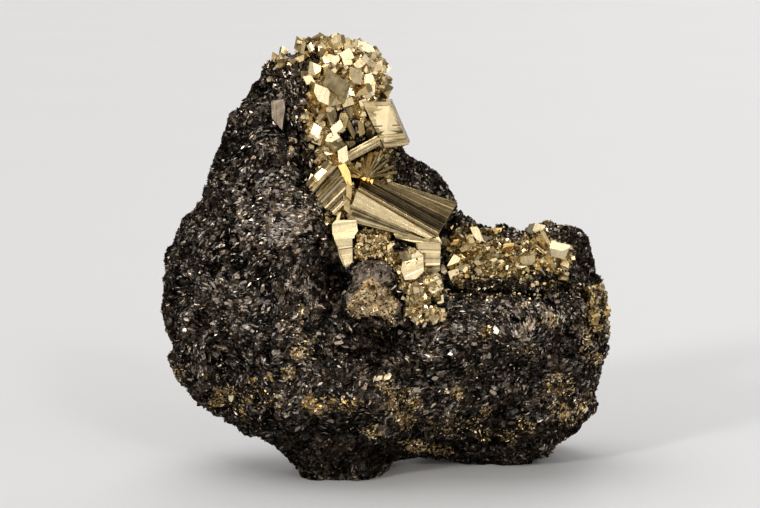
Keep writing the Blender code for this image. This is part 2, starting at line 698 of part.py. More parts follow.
def place_node(name, mesh, material, anchor):
    """Puts a finished mesh in its node, with the node's origin at its anchor."""
    anchor = Vector(anchor) * MM
    mesh.transform(Matrix.Translation(-anchor))
    mesh.materials.clear()
    mesh.materials.append(material)
    node = add_object(name, mesh, parts)
    node.location = anchor
    node.parent = specimen


def build():
    mass = matrix_mesh()
    coarse = with_modifier(mass, "DECIMATE", ratio=CRUST_TRIANGLES / MATRIX_TRIANGLES)
    brass = metallic("pyrite", PYRITE, 0.32)
    pale = metallic("pyrite_pale", PYRITE_PALE, 0.25)
    gold = metallic("pyrite_gold", PYRITE_GOLD, 0.35)
    dark = metallic("pyrrhotite", PYRRHOTITE, 0.45)
    relict = metallic("relict", RELICT, 0.42)

    single_crystals = [
        ("blade_crystal", blade_pieces, pale, (3.0, -9.0, 60.0)),
        ("slab_crystal", slab_pieces, pale, (0.0, -5.0, 78.0)),
        ("block_crystal", block_pieces, pale, (-9.0, -15.0, 53.0)),
        ("stepped_crystal", stepped_pieces, brass, (7.0, -9.0, 50.0)),
        ("bar_crystal", bar_pieces, brass, (-5.0, -8.0, 72.5)),
        ("fan_crystals", fan_pieces, brass, (-12.0, -13.0, 64.5)),
        ("spray_crystals", spray_pieces, brass, (-4.0, -10.0, 67.5)),
        ("relict_lump", lump_pieces, relict, (-3.0, -16.0, 43.0)),
    ]
    cutters = [offset_mesh(mass, GAP)]
    for name, pieces_of, material, anchor in single_crystals:
        first, *others = pieces_of()
        mesh = cut_to_fit(first, others, cutters, mass)
        cutters.append(with_margin(mesh))
        place_node(name, mesh, material, anchor)

    druses = [
        ("crest_druse", CREST, [], brass, (-12.0, -4.0, 84.0)),
        ("druse_tail", TAIL, tail_blocks(), brass, (6.0, -12.0, 44.0)),
        ("shoulder_druse", SHOULDER, shoulder_blocks(), brass, (28.0, -2.0, 48.0)),
        ("flank_druse", FLANK, [], gold, (48.0, 2.0, 38.0)),
    ]
    for name, growth, larger, material, anchor in druses:
        crust, crystals = druse(mass, coarse, *growth)
        mesh = cut_to_fit(crust, crystals + larger, cutters, mass)
        cutters.append(offset_mesh(mesh, CORNER_GAP))
        place_node(name, mesh, material, anchor)
    place_node("matrix", mass, dark, (0.0, 0.0, 40.0))


def stand_on_origin():
    """Moves the specimen so that the origin is under the middle of its box."""
    bpy.context.view_layer.update()
    corners = [node.matrix_world @ v.co for node in parts.objects if node.type == "MESH"
               for v in node.data.vertices]
    low = Vector(min(corner[axis] for corner in corners) for axis in range(3))
    high = Vector(max(corner[axis] for corner in corners) for axis in range(3))
    middle = (low + high) / 2.0
    specimen.location = (-middle.x, -middle.y, -low.z)


for old in list(bpy.data.objects):
    bpy.data.objects.remove(old, do_unlink=True)
parts = new_collection("mineral_specimen")
guides = new_collection("guides", hidden=True)
specimen = bpy.data.objects.new("specimen", None)
parts.objects.link(specimen)
build()
stand_on_origin()
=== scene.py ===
"""The looks of the mineral specimen: dark granular metal with brassy pyrite crystals grown on it."""
import math
import random

import bmesh
import bpy
import numpy as np
from mathutils import Matrix, Vector
from mathutils.bvhtree import BVHTree


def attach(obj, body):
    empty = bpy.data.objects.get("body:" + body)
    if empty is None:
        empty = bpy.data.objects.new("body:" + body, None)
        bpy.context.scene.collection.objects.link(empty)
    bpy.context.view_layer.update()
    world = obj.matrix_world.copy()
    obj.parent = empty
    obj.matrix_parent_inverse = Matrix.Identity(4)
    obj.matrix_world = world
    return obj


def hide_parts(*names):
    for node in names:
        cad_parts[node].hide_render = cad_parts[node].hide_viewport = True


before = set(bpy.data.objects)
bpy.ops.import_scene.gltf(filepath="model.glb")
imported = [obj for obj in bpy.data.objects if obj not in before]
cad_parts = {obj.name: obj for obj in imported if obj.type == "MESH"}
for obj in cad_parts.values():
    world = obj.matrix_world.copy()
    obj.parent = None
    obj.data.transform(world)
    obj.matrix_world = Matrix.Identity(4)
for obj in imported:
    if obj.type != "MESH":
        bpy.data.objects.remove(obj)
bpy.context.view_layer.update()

MM = 0.001
# From the frame that the crystals are drawn in to the frame of the part, in millimetres.
SHIFT = Vector((-0.710, -2.399, 0.0))

# The photograph's camera. Places in the photograph are given in its pixels.
LENS = 100.0
SENSOR = 36.0
DISTANCE = 470.0
ELEVATION = math.radians(8.0)
TARGET = Vector((-1.2, 0.0, 48.2))
WIDTH = 760
HEIGHT = 508
PX = 0.2227                 # millimetres that one pixel covers at the target

# Mesh sizes, in millimetres.
MASS_VOXEL = 0.56
CRUST_VOXEL = 0.5
LUMP_VOXEL = 0.30


def place(x, y, z):
    """A point of the drawing frame, in millimetres, as a place in the part's frame, in metres."""
    return (Vector((x, y, z)) + SHIFT) * MM


# The camera.
camera_data = bpy.data.cameras.new("camera")
camera_data.lens = LENS
camera_data.sensor_width = SENSOR
camera_data.clip_start = 0.01
camera_data.clip_end = 50.0
camera = bpy.data.objects.new("camera", camera_data)
bpy.context.scene.collection.objects.link(camera)
back_off = Vector((0.0, math.cos(ELEVATION), -math.sin(ELEVATION))) * DISTANCE
camera.location = (TARGET + SHIFT - back_off) * MM
camera.rotation_euler = (math.radians(90.0) - ELEVATION, 0.0, 0.0)
bpy.context.scene.camera = camera
bpy.context.view_layer.update()
EYE = camera.matrix_world.translation.copy()
TO_CAMERA = np.array(camera.matrix_world.inverted())


def ray(px, py):
    """The direction from the camera through a pixel."""
    across = (px - WIDTH / 2.0) / WIDTH * SENSOR / LENS
    upward = (HEIGHT / 2.0 - py) / WIDTH * SENSOR / LENS
    return (camera.matrix_world.to_3x3() @ Vector((across, upward, -1.0))).normalized()


def pixels(points):
    """The pixels that some points come to lie on, as two arrays."""
    local = points @ TO_CAMERA[:3, :3].T + TO_CAMERA[:3, 3]
    scale = -LENS / SENSOR * WIDTH / local[:, 2]
    return WIDTH / 2.0 + local[:, 0] * scale, HEIGHT / 2.0 - local[:, 1] * scale


def leaning(right, up):
    """The direction towards the photograph's side, leaning to the right and up."""
    return Vector((right, -1.0, up)).normalized()


def on_plane(outline, through, facing):
    """Where the pixels of an outline meet a plane through a point of the drawing frame, and the
    plane's normal. facing gives how far the plane leans to the right and up."""
    normal = leaning(*facing)
    through = place(*through)
    points = []
    for px, py in outline:
        direction = ray(px, py)
        reach = (through - EYE).dot(normal) / direction.dot(normal)
        points.append((EYE + direction * reach) / MM - SHIFT)
    return points, normal


def away_from(px, py, x, y, half_width, half_height):
    """How far some pixels are from the middle of a spot, squared and in its half sizes."""
    return ((px - x) / half_width) ** 2 + ((py - y) / half_height) ** 2


def turned_away_from(px, py, x, y, half_width, half_height, turn):
    """The same for a spot that is turned clockwise by some degrees."""
    angle = math.radians(turn)
    along = (px - x) * math.cos(angle) + (py - y) * math.sin(angle)
    across = (py - y) * math.cos(angle) - (px - x) * math.sin(angle)
    return (along / half_width) ** 2 + (across / half_height) ** 2


def spots(px, py, rows):
    """The sum of soft spots: the middle, half width, half height and strength of each."""
    total = np.zeros(len(px))
    for *spot, strength in rows:
        total += strength * np.exp(-away_from(px, py, *spot))
    return total


def ramp(distance, width):
    """0 before a line, and 1 from some way behind it."""
    return np.clip(distance / width, 0.0, 1.0)


# Noise on arrays of points. Each octave is finer and weaker than the last, and starts elsewhere.
OCTAVE_FINER = 2.03
OCTAVE_WEAKER = 1.9
OCTAVE_APART = 7.3


def hashed(cell, salt):
    """Three numbers from 0 to 1 for each whole-numbered cell, always the same for the same cell."""
    seed = cell[..., 0] * 73856093 ^ cell[..., 1] * 19349663 ^ cell[..., 2] * 83492791
    seed = (seed + salt * 1013904223) & 0xFFFFFFFF
    numbers = []
    for _ in range(3):
        seed = (seed ^ seed >> 15) * 2246822519 & 0xFFFFFFFF
        seed = (seed ^ seed >> 13) * 3266489917 & 0xFFFFFFFF
        seed = seed ^ seed >> 16
        numbers.append((seed & 0xFFFFFF) / 0x1000000)
    return np.stack(numbers, axis=-1)


def smooth_noise(points, salt=0):
    """Noise from -1 to 1 that changes slowly from one whole number to the next."""
    low = np.floor(points).astype(np.int64)
    share = points - low
    share = share * share * (3.0 - 2.0 * share)
    total = np.zeros(len(points))
    for corner in np.ndindex(2, 2, 2):
        weight = np.prod(np.where(np.array(corner) == 1, share, 1.0 - share), axis=1)
        total += weight * hashed(low + np.array(corner), salt)[:, 0]
    return total * 2.0 - 1.0


def fractal(points, octaves, salt=0):
    """Layers of noise, from coarse to fine."""
    total = np.zeros(len(points))
    for octave in range(octaves):
        layer = smooth_noise(points * OCTAVE_FINER ** octave + OCTAVE_APART * octave, salt + octave)
        total += layer / OCTAVE_WEAKER ** octave
    return total


def grains(points, salt=0):
    """Cells with ragged centres: the offset to the nearest centre, its random numbers, and how far
    the point is from the edge of its cell."""
    low = np.floor(points).astype(np.int64)
    best = np.full(len(points), 1e9)
    second = np.full(len(points), 1e9)
    offset = np.zeros((len(points), 3))
    number = np.zeros((len(points), 3))
    for corner in np.ndindex(3, 3, 3):
        cell = low + np.array(corner) - 1
        away = points - (cell + hashed(cell, salt))
        distance = np.einsum("ij,ij->i", away, away)
        nearer = distance < best
        second = np.where(nearer, best, np.minimum(second, distance))
        best = np.where(nearer, distance, best)
        offset[nearer] = away[nearer]
        number[nearer] = hashed(cell[nearer], salt + 91)
    return offset, number, np.sqrt(second) - np.sqrt(best)


def drawn(number, salt):
    """New random numbers for the cells that have these."""
    return hashed(np.floor(number * 1e6).astype(np.int64), salt)


# Meshes.
def new_object(name, data):
    obj = bpy.data.objects.new(name, data)
    bpy.context.scene.collection.objects.link(obj)
    return obj


def read(items, key, width=3):
    """A row of numbers for each point or face of a mesh, as an array."""
    values = np.empty(len(items) * width, np.float32)
    items.foreach_get(key, values)
    return values.reshape(-1, width).astype(float)


def positions(mesh):
    return read(mesh.vertices, "co")


def vertex_normals(mesh):
    return read(mesh.vertex_normals, "vector")


def face_centres(mesh):
    return read(mesh.polygons, "center")


def face_normals(mesh):
    return read(mesh.polygons, "normal")


def face_areas(mesh):
    return read(mesh.polygons, "area", 1)[:, 0]


def move_to(mesh, points):
    mesh.vertices.foreach_set("co", np.ascontiguousarray(points, np.float32).ravel())
    mesh.update()


def set_values(mesh, name, domain, values):
    """Stores one number for each face or point of a mesh."""
    attribute = mesh.attributes.new(name, "FLOAT", domain)
    attribute.data.foreach_set("value", np.ascontiguousarray(values, np.float32))


def set_vectors(mesh, name, domain, values):
    attribute = mesh.attributes.new(name, "FLOAT_VECTOR", domain)
    attribute.data.foreach_set("vector", np.ascontiguousarray(values, np.float32).ravel())


def tree_of(mesh):
    """The faces of a mesh, to find where a ray meets them."""
    return BVHTree.FromPolygons([v.co for v in mesh.vertices], [p.vertices for p in mesh.polygons])


def remeshed(node, voxel, smoothing):
    """A fine mesh of a CAD node, made of cells of some millimetres and smoothed some times."""
    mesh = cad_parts[node].data.copy()
    mesh.materials.clear()
    shape = new_object("shape", mesh)
    remesh = shape.modifiers.new("remesh", "REMESH")
    remesh.mode = "VOXEL"
    remesh.voxel_size = voxel * MM
    smooth = shape.modifiers.new("smooth", "SMOOTH")
    smooth.factor = 0.5
    smooth.iterations = smoothing
    bpy.context.view_layer.update()
    depsgraph = bpy.context.evaluated_depsgraph_get()
    result = bpy.data.meshes.new_from_object(shape.evaluated_get(depsgraph))
    bpy.data.objects.remove(shape, do_unlink=True)
    return result


def done(piece, slot_name, *nodes):
    """Fixes a piece to the body and hides the CAD nodes it stands for. slot_name, the finish it takes, is
    not used.
    """
    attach(piece, "root")
    if nodes:
        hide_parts(*nodes)


# Materials. Scales of noise and cells are in repeats per metre, so 1000 repeats each millimetre.
class Surface:
    """A material that is built up node by node. edge is how strong its reflections are at grazing
    angles."""

    def __init__(self, name, metallic, edge=1.0):
        self.material = bpy.data.materials.new(name)
        self.material.use_nodes = True
        self.nodes = self.material.node_tree.nodes
        self.links = self.material.node_tree.links
        self.shader = self.nodes["Principled BSDF"]
        self.shader.inputs["Metallic"].default_value = metallic
        self.shader.inputs["Specular Tint"].default_value = (edge, edge, edge, 1.0)
        self.place = self.add("ShaderNodeTexCoord").outputs["Object"]

    def add(self, kind, **settings):
        node = self.nodes.new(kind)
        for key, value in settings.items():
            setattr(node, key, value)
        return node

    def put(self, socket, value):
        """Links an output to a socket, or sets the socket to a number, vector or colour."""
        if isinstance(value, bpy.types.NodeSocket):
            self.links.new(value, socket)
        elif socket.type == "RGBA":
            socket.default_value = (*value, 1.0)
        else:
            socket.default_value = value

    def attribute(self, name, output="Fac"):
        return self.add("ShaderNodeAttribute", attribute_name=name).outputs[output]

    def math(self, operation, first, second, clamp=False):
        node = self.add("ShaderNodeMath", operation=operation, use_clamp=clamp)
        self.put(node.inputs[0], first)
        self.put(node.inputs[1], second)
        return node.outputs[0]

    def vector(self, operation, first, second=None):
        node = self.add("ShaderNodeVectorMath", operation=operation)
        self.put(node.inputs[0], first)
        if second is not None:
            self.put(node.inputs["Scale" if operation == "SCALE" else 1], second)
        return node.outputs[0]

    def noise(self, scale, detail=3.0, rough=0.6, vector=None):
        node = self.add("ShaderNodeTexNoise")
        self.put(node.inputs["Vector"], vector or self.place)
        self.put(node.inputs["Scale"], scale)
        self.put(node.inputs["Detail"], detail)
        self.put(node.inputs["Roughness"], rough)
        return node.outputs["Fac"]

    def cells(self, scale, output="Color"):
        node = self.add("ShaderNodeTexVoronoi")
        self.put(node.inputs["Vector"], self.place)
        self.put(node.inputs["Scale"], scale)
        return node.outputs[output]

    def span(self, value, low, high, to_low=0.0, to_high=1.0):
        """Stretches the range from low to high over another one."""
        node = self.add("ShaderNodeMapRange", clamp=True)
        for socket, number in zip(node.inputs[:5], (value, low, high, to_low, to_high)):
            self.put(socket, number)
        return node.outputs[0]

    def mix(self, share, first, second):
        node = self.add("ShaderNodeMix", data_type="RGBA")
        for key, value in (("Factor", share), ("A", first), ("B", second)):
            self.put(node.inputs[key], value)
        return [socket for socket in node.outputs if socket.type == "RGBA"][0]

    def tilted_normal(self, *layers):
        """The normal, tilted its own way in each small cell: pairs of cell colour and how far."""
        normal = self.add("ShaderNodeNewGeometry").outputs["Normal"]
        for color, far in layers:
            around = self.vector("SUBTRACT", color, (0.5, 0.5, 0.5))
            normal = self.vector("ADD", normal, self.vector("SCALE", around, far))
        return self.vector("NORMALIZE", normal)

    def bump(self, height, depth, strength, normal=None):
        """Relief that is some millimetres deep, on top of another relief if one is given."""
        node = self.add("ShaderNodeBump")
        self.put(node.inputs["Height"], height)
        self.put(node.inputs["Distance"], depth * MM)
        self.put(node.inputs["Strength"], strength)
        if normal is not None:
            self.put(node.inputs["Normal"], normal)
        return node.outputs["Normal"]

    def finish(self, color, roughness, normal=None):
        self.put(self.shader.inputs["Base Color"], color)
        self.put(self.shader.inputs["Roughness"], roughness)
        if normal is not None:
            self.put(self.shader.inputs["Normal"], normal)
        return self.material


def granular_metal():
    """Pyrrhotite and what replaced it: near black, with brownish, greyish and golden grains."""
    black, brown = (0.005, 0.0045, 0.004), (0.022, 0.014, 0.009)
    grey_glint, brown_glint = (0.80, 0.71, 0.62), (0.74, 0.58, 0.42)
    dull_gold, clean_gold, gold_glint = (0.23, 0.13, 0.035), (0.70, 0.48, 0.18), (0.88, 0.73, 0.46)
    s = Surface("granular_metal", 0.92, 0.3)
    tone = s.attribute("tone")
    # The mass breaks up into specks of its own, the grains that stand out of it much less.
    broken = s.math("SUBTRACT", 1.0, s.math("MULTIPLY", s.attribute("plain"), 0.8))
    cell = s.cells(1900.0)
    number = s.add("ShaderNodeSeparateColor")
    s.put(number.inputs[0], cell)
    speck = s.math("MULTIPLY", s.math("POWER", number.outputs[0], 3.0), 0.10)
    speck = s.math("MULTIPLY", speck, broken)
    base = s.mix(s.span(s.noise(260.0, 2.0), 0.38, 0.62), black, brown)
    light = s.mix(s.span(s.noise(420.0, 1.0), 0.4, 0.6), grey_glint, brown_glint)
    color = s.mix(s.math("ADD", tone, speck, clamp=True), base, light)
    golden = s.mix(s.span(s.noise(900.0, 2.0), 0.35, 0.65), dull_gold, clean_gold)
    golden = s.mix(s.span(tone, 0.35, 0.75), golden, gold_glint)
    is_gold = s.math("MULTIPLY", s.attribute("gold"), s.span(number.outputs[1], 0.05, 0.35))
    color = s.mix(is_gold, color, golden)
    # Where the break sinks in, the colour is painted towards black as shade.
    color = s.mix(s.span(s.attribute("painted_hollow_shade"), 0.45, 0.95), color, black)
    normal = s.tilted_normal((s.cells(950.0), s.math("MULTIPLY", broken, 0.75)),
                             (cell, s.math("MULTIPLY", broken, 0.5)))
    return s.finish(color, s.span(s.noise(700.0, 2.0), 0.3, 0.7, 0.22, 0.42), normal)


def pyrite():
    """Brassy metal whose faces carry fine striations along each crystal's own axis."""
    pale, brassy, golden = (0.88, 0.76, 0.51), (0.78, 0.60, 0.31), (0.80, 0.50, 0.14)
    olive, black = (0.17, 0.125, 0.055), (0.030, 0.022, 0.015)
    s = Surface("pyrite", 1.0)
    tint = s.attribute("tint")
    tarnish = s.attribute("tarnish")
    local = s.attribute("local", "Vector")
    lines = s.noise(1.0, vector=s.vector("MULTIPLY", local, (4.0, 0.2, 0.2)))
    lines_across = s.noise(1.0, vector=s.vector("MULTIPLY", local, (0.2, 0.2, 4.0)))
    color = s.mix(s.span(tint, 0.0, 0.5), pale, brassy)
    color = s.mix(s.span(tint, 0.5, 1.0), color, golden)
    recolour = s.span(s.noise(420.0, 4.0, 0.65), 0.42, 0.66)
    streak = s.span(lines, 0.48, 0.62)
    dirt = s.math("ADD", s.math("MULTIPLY", recolour, 0.4), s.math("MULTIPLY", streak, 0.35))
    dirt = s.math("MULTIPLY", dirt, s.span(tarnish, 0.0, 0.6, 0.35, 1.0))
    dirt = s.math("ADD", dirt, s.math("MULTIPLY", tarnish, 0.6), clamp=True)
    color = s.mix(dirt, color, olive)
    # dark is partly painted shade, in crevices, pits, gaps and bands, and elsewhere the dark mass showing
    # through.
    color = s.mix(s.attribute("dark"), color, black)
    normal = s.bump(lines, 0.05, 0.4)
    normal = s.bump(lines_across, 0.04, 0.3, normal)
    normal = s.bump(s.noise(1500.0, 2.0), 0.02, 0.4, normal)
    return s.finish(color, s.span(s.noise(600.0), 0.3, 0.7, 0.20, 0.36), normal)


def relict_metal():
    """Dull metal: violet grey with fine dark specks, and tan where it is rough."""
    dark_grey, light_grey = (0.13, 0.10, 0.078), (0.38, 0.30, 0.225)
    dark_tan, light_tan = (0.28, 0.195, 0.10), (0.88, 0.66, 0.36)
    black = (0.02, 0.018, 0.018)
    s = Surface("relict", 0.75)
    grey = s.mix(s.span(s.noise(700.0), 0.4, 0.65), dark_grey, light_grey)
    tan = s.mix(s.span(s.noise(480.0, 4.0, 0.7), 0.4, 0.62), dark_tan, light_tan)
    color = s.mix(s.attribute("tan"), grey, tan)
    around_specks = s.span(s.cells(1500.0, "Distance"), 0.0, 0.25)
    color = s.mix(around_specks, s.mix(0.6, color, black), color)
    normal = s.bump(s.noise(1500.0), 0.12, 0.7)
    return s.finish(color, s.span(s.noise(500.0), 0.35, 0.65, 0.32, 0.52), normal)


def cleavage_metal():
    """Smooth greyish metal of a cleavage face, with fine streaks."""
    dark, light = (0.20, 0.155, 0.115), (0.44, 0.345, 0.260)
    s = Surface("cleavage", 0.9)
    streak = s.noise(1.0, 4.0, 0.7, s.vector("MULTIPLY", s.place, (1500.0, 500.0, 260.0)))
    color = s.mix(s.span(streak, 0.35, 0.65), dark, light)
    normal = s.bump(s.noise(900.0, 4.0, 0.65), 0.15, 0.6)
    return s.finish(color, s.span(s.noise(500.0), 0.3, 0.7, 0.30, 0.45), normal)


def pale_floor():
    s = Surface("pale_floor", 0.0)
    return s.finish(s.mix(s.noise(3.0), (0.80, 0.80, 0.81), (0.83, 0.83, 0.83)), 0.6)


granular = granular_metal()
brass = pyrite()

# The dark mass. Each row starts with a place in the photograph, in pixels: its middle, half width
# and half height.
# Zones of grains: the place and how much lighter or darker they are. They paint light on the front: painted
# sheen where glints gather, painted shade in recesses and low down.
SHEEN_AND_SHADE_ZONES = [
    (290, 200, 42, 52, 0.62), (265, 235, 40, 28, 0.38), (230, 300, 50, 55, 0.12),
    (262, 150, 22, 40, 0.20), (300, 98, 14, 14, 0.25), (285, 125, 22, 30, -0.30),
    (318, 160, 14, 30, -0.35), (215, 190, 14, 40, -0.35), (255, 95, 20, 16, -0.30),
    (335, 281, 10, 16, -1.30), (322, 262, 14, 10, -0.30), (172, 310, 14, 70, -0.45),
    (238, 312, 16, 20, 0.35), (310, 355, 60, 30, -0.10), (200, 400, 40, 22, -0.70),
    (300, 440, 60, 25, -1.10), (355, 455, 70, 18, -1.30), (500, 290, 45, 9, -0.60),
    (392, 337, 26, 12, -1.30), (375, 350, 20, 10, -0.80), (515, 312, 56, 20, 0.55),
    (540, 326, 40, 15, 0.45), (433, 353, 20, 10, 0.95), (225, 350, 60, 45, -0.12),
    (478, 330, 20, 20, 0.20), (560, 300, 14, 40, -0.35), (600, 255, 14, 40, -0.50),
    (500, 385, 90, 24, -0.35), (440, 372, 50, 16, -0.20), (500, 440, 90, 24, -1.10),
    (585, 400, 16, 40, -0.40), (560, 345, 30, 20, -0.05), (425, 175, 26, 22, 0.05),
    (590, 230, 20, 16, -0.25), (410, 160, 16, 10, -0.30),
]
# Patches of golden grains: the place, its turn in degrees and the share of golden grains.
GOLDEN = [
    (223, 397, 14, 7, -32, 0.85), (251, 380, 5, 3, -10, 0.80), (269, 376, 6, 3, -15, 0.75),
    (289, 372, 7, 7, 0, 0.50), (299, 322, 5, 16, 12, 0.42), (306, 345, 8, 14, 20, 0.32),
    (296, 354, 6, 7, 0, 0.40), (318, 403, 15, 9, 10, 0.55), (345, 405, 16, 8, -5, 0.35),
    (388, 386, 12, 8, 30, 0.45), (403, 403, 18, 13, -20, 0.45), (407, 423, 10, 7, 0, 0.50),
    (373, 431, 8, 7, 0, 0.45), (455, 393, 9, 7, 35, 0.45), (560, 385, 15, 11, 10, 0.40),
    (552, 405, 12, 8, 25, 0.30), (572, 415, 12, 9, -35, 0.40), (585, 400, 9, 7, -40, 0.30),
    (487, 411, 7, 6, 0, 0.50), (509, 437, 9, 7, 10, 0.35), (527, 425, 9, 7, 0, 0.35),
    (483, 436, 9, 6, 0, 0.35), (415, 446, 15, 6, 5, 0.45), (440, 449, 14, 5, 10, 0.30),
    (522, 306, 6, 4, 0, 0.50), (551, 320, 8, 7, 0, 0.60), (524, 349, 12, 6, 0, 0.20),
    (486, 333, 8, 6, 30, 0.35), (390, 322, 8, 6, 0, 0.25), (378, 334, 5, 3, 30, 0.40),
    (260, 398, 30, 10, 10, 0.15), (455, 425, 30, 12, 0, 0.15), (590, 330, 10, 30, 8, 0.25),
    (597, 357, 5, 6, 0, 0.70), (234, 408, 12, 5, 32, 0.30), (175, 375, 8, 12, 20, 0.12),
]
# How the grains lie: the place and the way they run, in degrees from the right upwards.
FLOWS = [
    (215, 235, 50, 26, 38), (300, 150, 20, 62, -68), (280, 212, 34, 34, 22), (240, 150, 24, 50, 64),
    (262, 250, 40, 14, 12), (222, 300, 44, 30, 25), (290, 300, 30, 40, 75), (320, 335, 40, 22, -30),
    (240, 350, 60, 26, 5), (480, 320, 50, 22, -12), (560, 300, 18, 50, 80), (500, 370, 80, 22, 8),
    (420, 400, 60, 30, 20), (540, 420, 50, 30, 40), (330, 440, 80, 26, 0), (430, 180, 26, 30, -45),
]
# Bulges and pits: the place and how far out it is, in millimetres.
BULGES = [
    (302, 99, 12, 13, 1.0), (318, 245, 10, 10, 0.8), (318, 245, 5, 5, -2.0), (337, 281, 9, 15, -2.4),
    (400, 334, 20, 6, -1.8), (372, 350, 13, 8, -1.2), (515, 289, 42, 4, -1.3), (435, 353, 16, 9, 1.0),
    (478, 316, 24, 13, 0.9), (545, 315, 20, 13, 0.8), (575, 300, 5, 45, 0.9), (304, 158, 7, 38, -1.0),
    (288, 128, 5, 22, -0.8), (206, 240, 16, 9, 0.6), (228, 305, 20, 14, 0.6), (250, 342, 38, 8, -0.8),
    (330, 382, 26, 9, 0.7), (262, 196, 24, 18, 0.6), (300, 215, 20, 16, 0.6), (245, 262, 26, 8, -0.7),
    (205, 275, 12, 20, -0.5), (190, 330, 10, 22, 0.5), (285, 300, 12, 24, 0.5), (330, 330, 18, 14, -0.6),
    (440, 395, 24, 12, -0.7), (500, 372, 30, 8, -0.7), (540, 400, 22, 16, 0.6), (480, 425, 30, 9, 0.5),
    (380, 400, 26, 12, 0.6), (345, 440, 24, 10, -0.5), (560, 350, 12, 20, -0.6), (240, 130, 14, 22, 0.5),
    (164, 360, 11, 14, -2.8), (286, 463, 14, 14, -1.4),
]

# Sizes of the mass's own variation, in millimetres.
TONE_SPAN = 5.0
TONE_PATCH = 1.9
FLOW_SPAN = 7.0
GOLD_SPAN = 6.0
CELL_SPAN = 1.1
# The break: broad swells, then facets as their span, their height for coarse and for fine forms,
# and the salt of their noise.
SWELL_SPAN = 6.5
SWELL_HEIGHT = 0.42
FACETS = [(4.2, 0.42, 0.0, 3), (1.9, 0.0, 0.36, 5), (1.0, 0.0, 0.34, 7)]
GRIT = 0.10
GRIT_PER_MM = 41.0
FLOOR_BAND = 0.25           # points lower than this are cut flat

FLOW_PULL = 1.6             # how strongly the grains follow the rows of FLOWS
CREVICE = 0.16              # half width of the cracks between facets, as a share of their span
CREVICE_DEPTH = 1.4         # their depth, and the tilt of the facets, as shares of the height
FACET_TILT = 1.6

# The flakes that stand out of a mesh, in millimetres.
FLAKE_DOMAIN = 2.8          # how wide the domains are in which they lean alike
FLAKE_JITTER = 0.3          # how far they lie from the middle of a face
FLAKE_LIFT = 0.12           # how far the highest of them stand out
FLAKE_ROOT = 0.25           # how deep the points of the thinnest are sunk
FLAKE_FLOOR = 0.02          # how far all of them stay above the floor


def facing_camera(normals):
    """How far some faces look towards the photograph's side, from 0 to 1."""
    return np.clip(0.6 - normals[:, 1] * 3.0, 0.0, 1.0)


def painted_sheen_shade_and_tone(points, normals):
    """How much lighter or darker the grains at some points are: the zones' painted sheen and shade on the
    front, and slow random tone all over.
    """
    seen = facing_camera(normals)
    slow = fractal(points / (TONE_SPAN * MM), 3, 11) * 0.62
    return spots(*pixels(points), SHEEN_AND_SHADE_ZONES) * seen + slow * (1.0 - 0.3 * seen)


def flow(points, normals):
    """The direction that the grains at some points run in."""
    px, py = pixels(points)
    seen = facing_camera(normals)
    lean = np.stack([fractal(points / (FLOW_SPAN * MM), 2, salt) for salt in (31, 37, 41)], axis=1)
    for *spot, turn in FLOWS:
        angle = math.radians(turn)
        toward = np.array([math.cos(angle), 0.0, math.sin(angle)])
        lean += (np.exp(-away_from(px, py, *spot)) * seen)[:, None] * toward * FLOW_PULL
    return lean


def golden_share(points, normals):
    """The share of golden grains at some points: as listed in front, in loose patches behind."""
    px, py = pixels(points)
    share = np.zeros(len(points))
    for *spot, amount in GOLDEN:
        away = turned_away_from(px, py, *spot)
        share = np.maximum(share, amount * np.clip(1.9 - 1.2 * away, 0.0, 1.0))
    unseen = np.clip((fractal(points / (GOLD_SPAN * MM), 2, 23) - 0.75) * 3.0, 0.0, 0.5)
    return np.where(normals[:, 1] < 0.25, share, unseen)


def tone_of(points, normals, draw):
    """How light each grain is, from 0 to 1: most are near black and a few are bright, more or fewer where
    the zones paint sheen and shade.
    """
    sheen_shade_and_tone_gain = painted_sheen_shade_and_tone(points, normals)
    patch = drawn(grains(points / (TONE_PATCH * MM), 67)[1], 5)[:, 0]
    rarity = np.clip(7.2 - 3.9 * sheen_shade_and_tone_gain - 3.4 * patch, 1.2, 16.0)
    return np.clip(draw.random(len(points)) ** rarity * (1.15 + 0.8 * sheen_shade_and_tone_gain), 0.0, 1.0)


def rough(mesh, coarse, fine, keep_flat=True):
    """Moves the points of a mesh to the facets, cracks and grains of a rough break, and gives how
    far each goes, in millimetres. coarse and fine are the strengths of large and small forms."""
    points = positions(mesh)
    normals = vertex_normals(mesh)
    at = points / MM
    lift = fractal(at / SWELL_SPAN, 3, 1) * SWELL_HEIGHT * coarse
    for span, coarse_height, fine_height, salt in FACETS:
        height = coarse_height * coarse + fine_height * fine
        offset, number, edge = grains(at / span, salt)
        tilt = (number - 0.5) * 2.0
        lift += np.einsum("ij,ij->i", offset, tilt) * height * FACET_TILT
        lift -= np.clip(CREVICE - edge, 0.0, CREVICE) * height * CREVICE_DEPTH
    grit = hashed(np.round(at * GRIT_PER_MM).astype(np.int64), 17)[:, 0] - 0.5
    lift += grit * GRIT * fine
    moved = points + normals * lift[:, None] * MM
    if keep_flat:
        floor = points[:, 2] < FLOOR_BAND * MM
        moved[floor, 2] = 0.0
        moved[:, 2] = np.maximum(moved[:, 2], 0.0)
    move_to(mesh, moved)
    return lift


def bulge(mesh):
    """Moves the side of the mass that the photograph shows out or in, and gives how far."""
    points = positions(mesh)
    normals = vertex_normals(mesh)
    lift = spots(*pixels(points), BULGES) * np.clip(0.7 - normals[:, 1] * 1.6, 0.0, 1.0)
    move_to(mesh, points + normals * lift[:, None] * MM)
    return lift


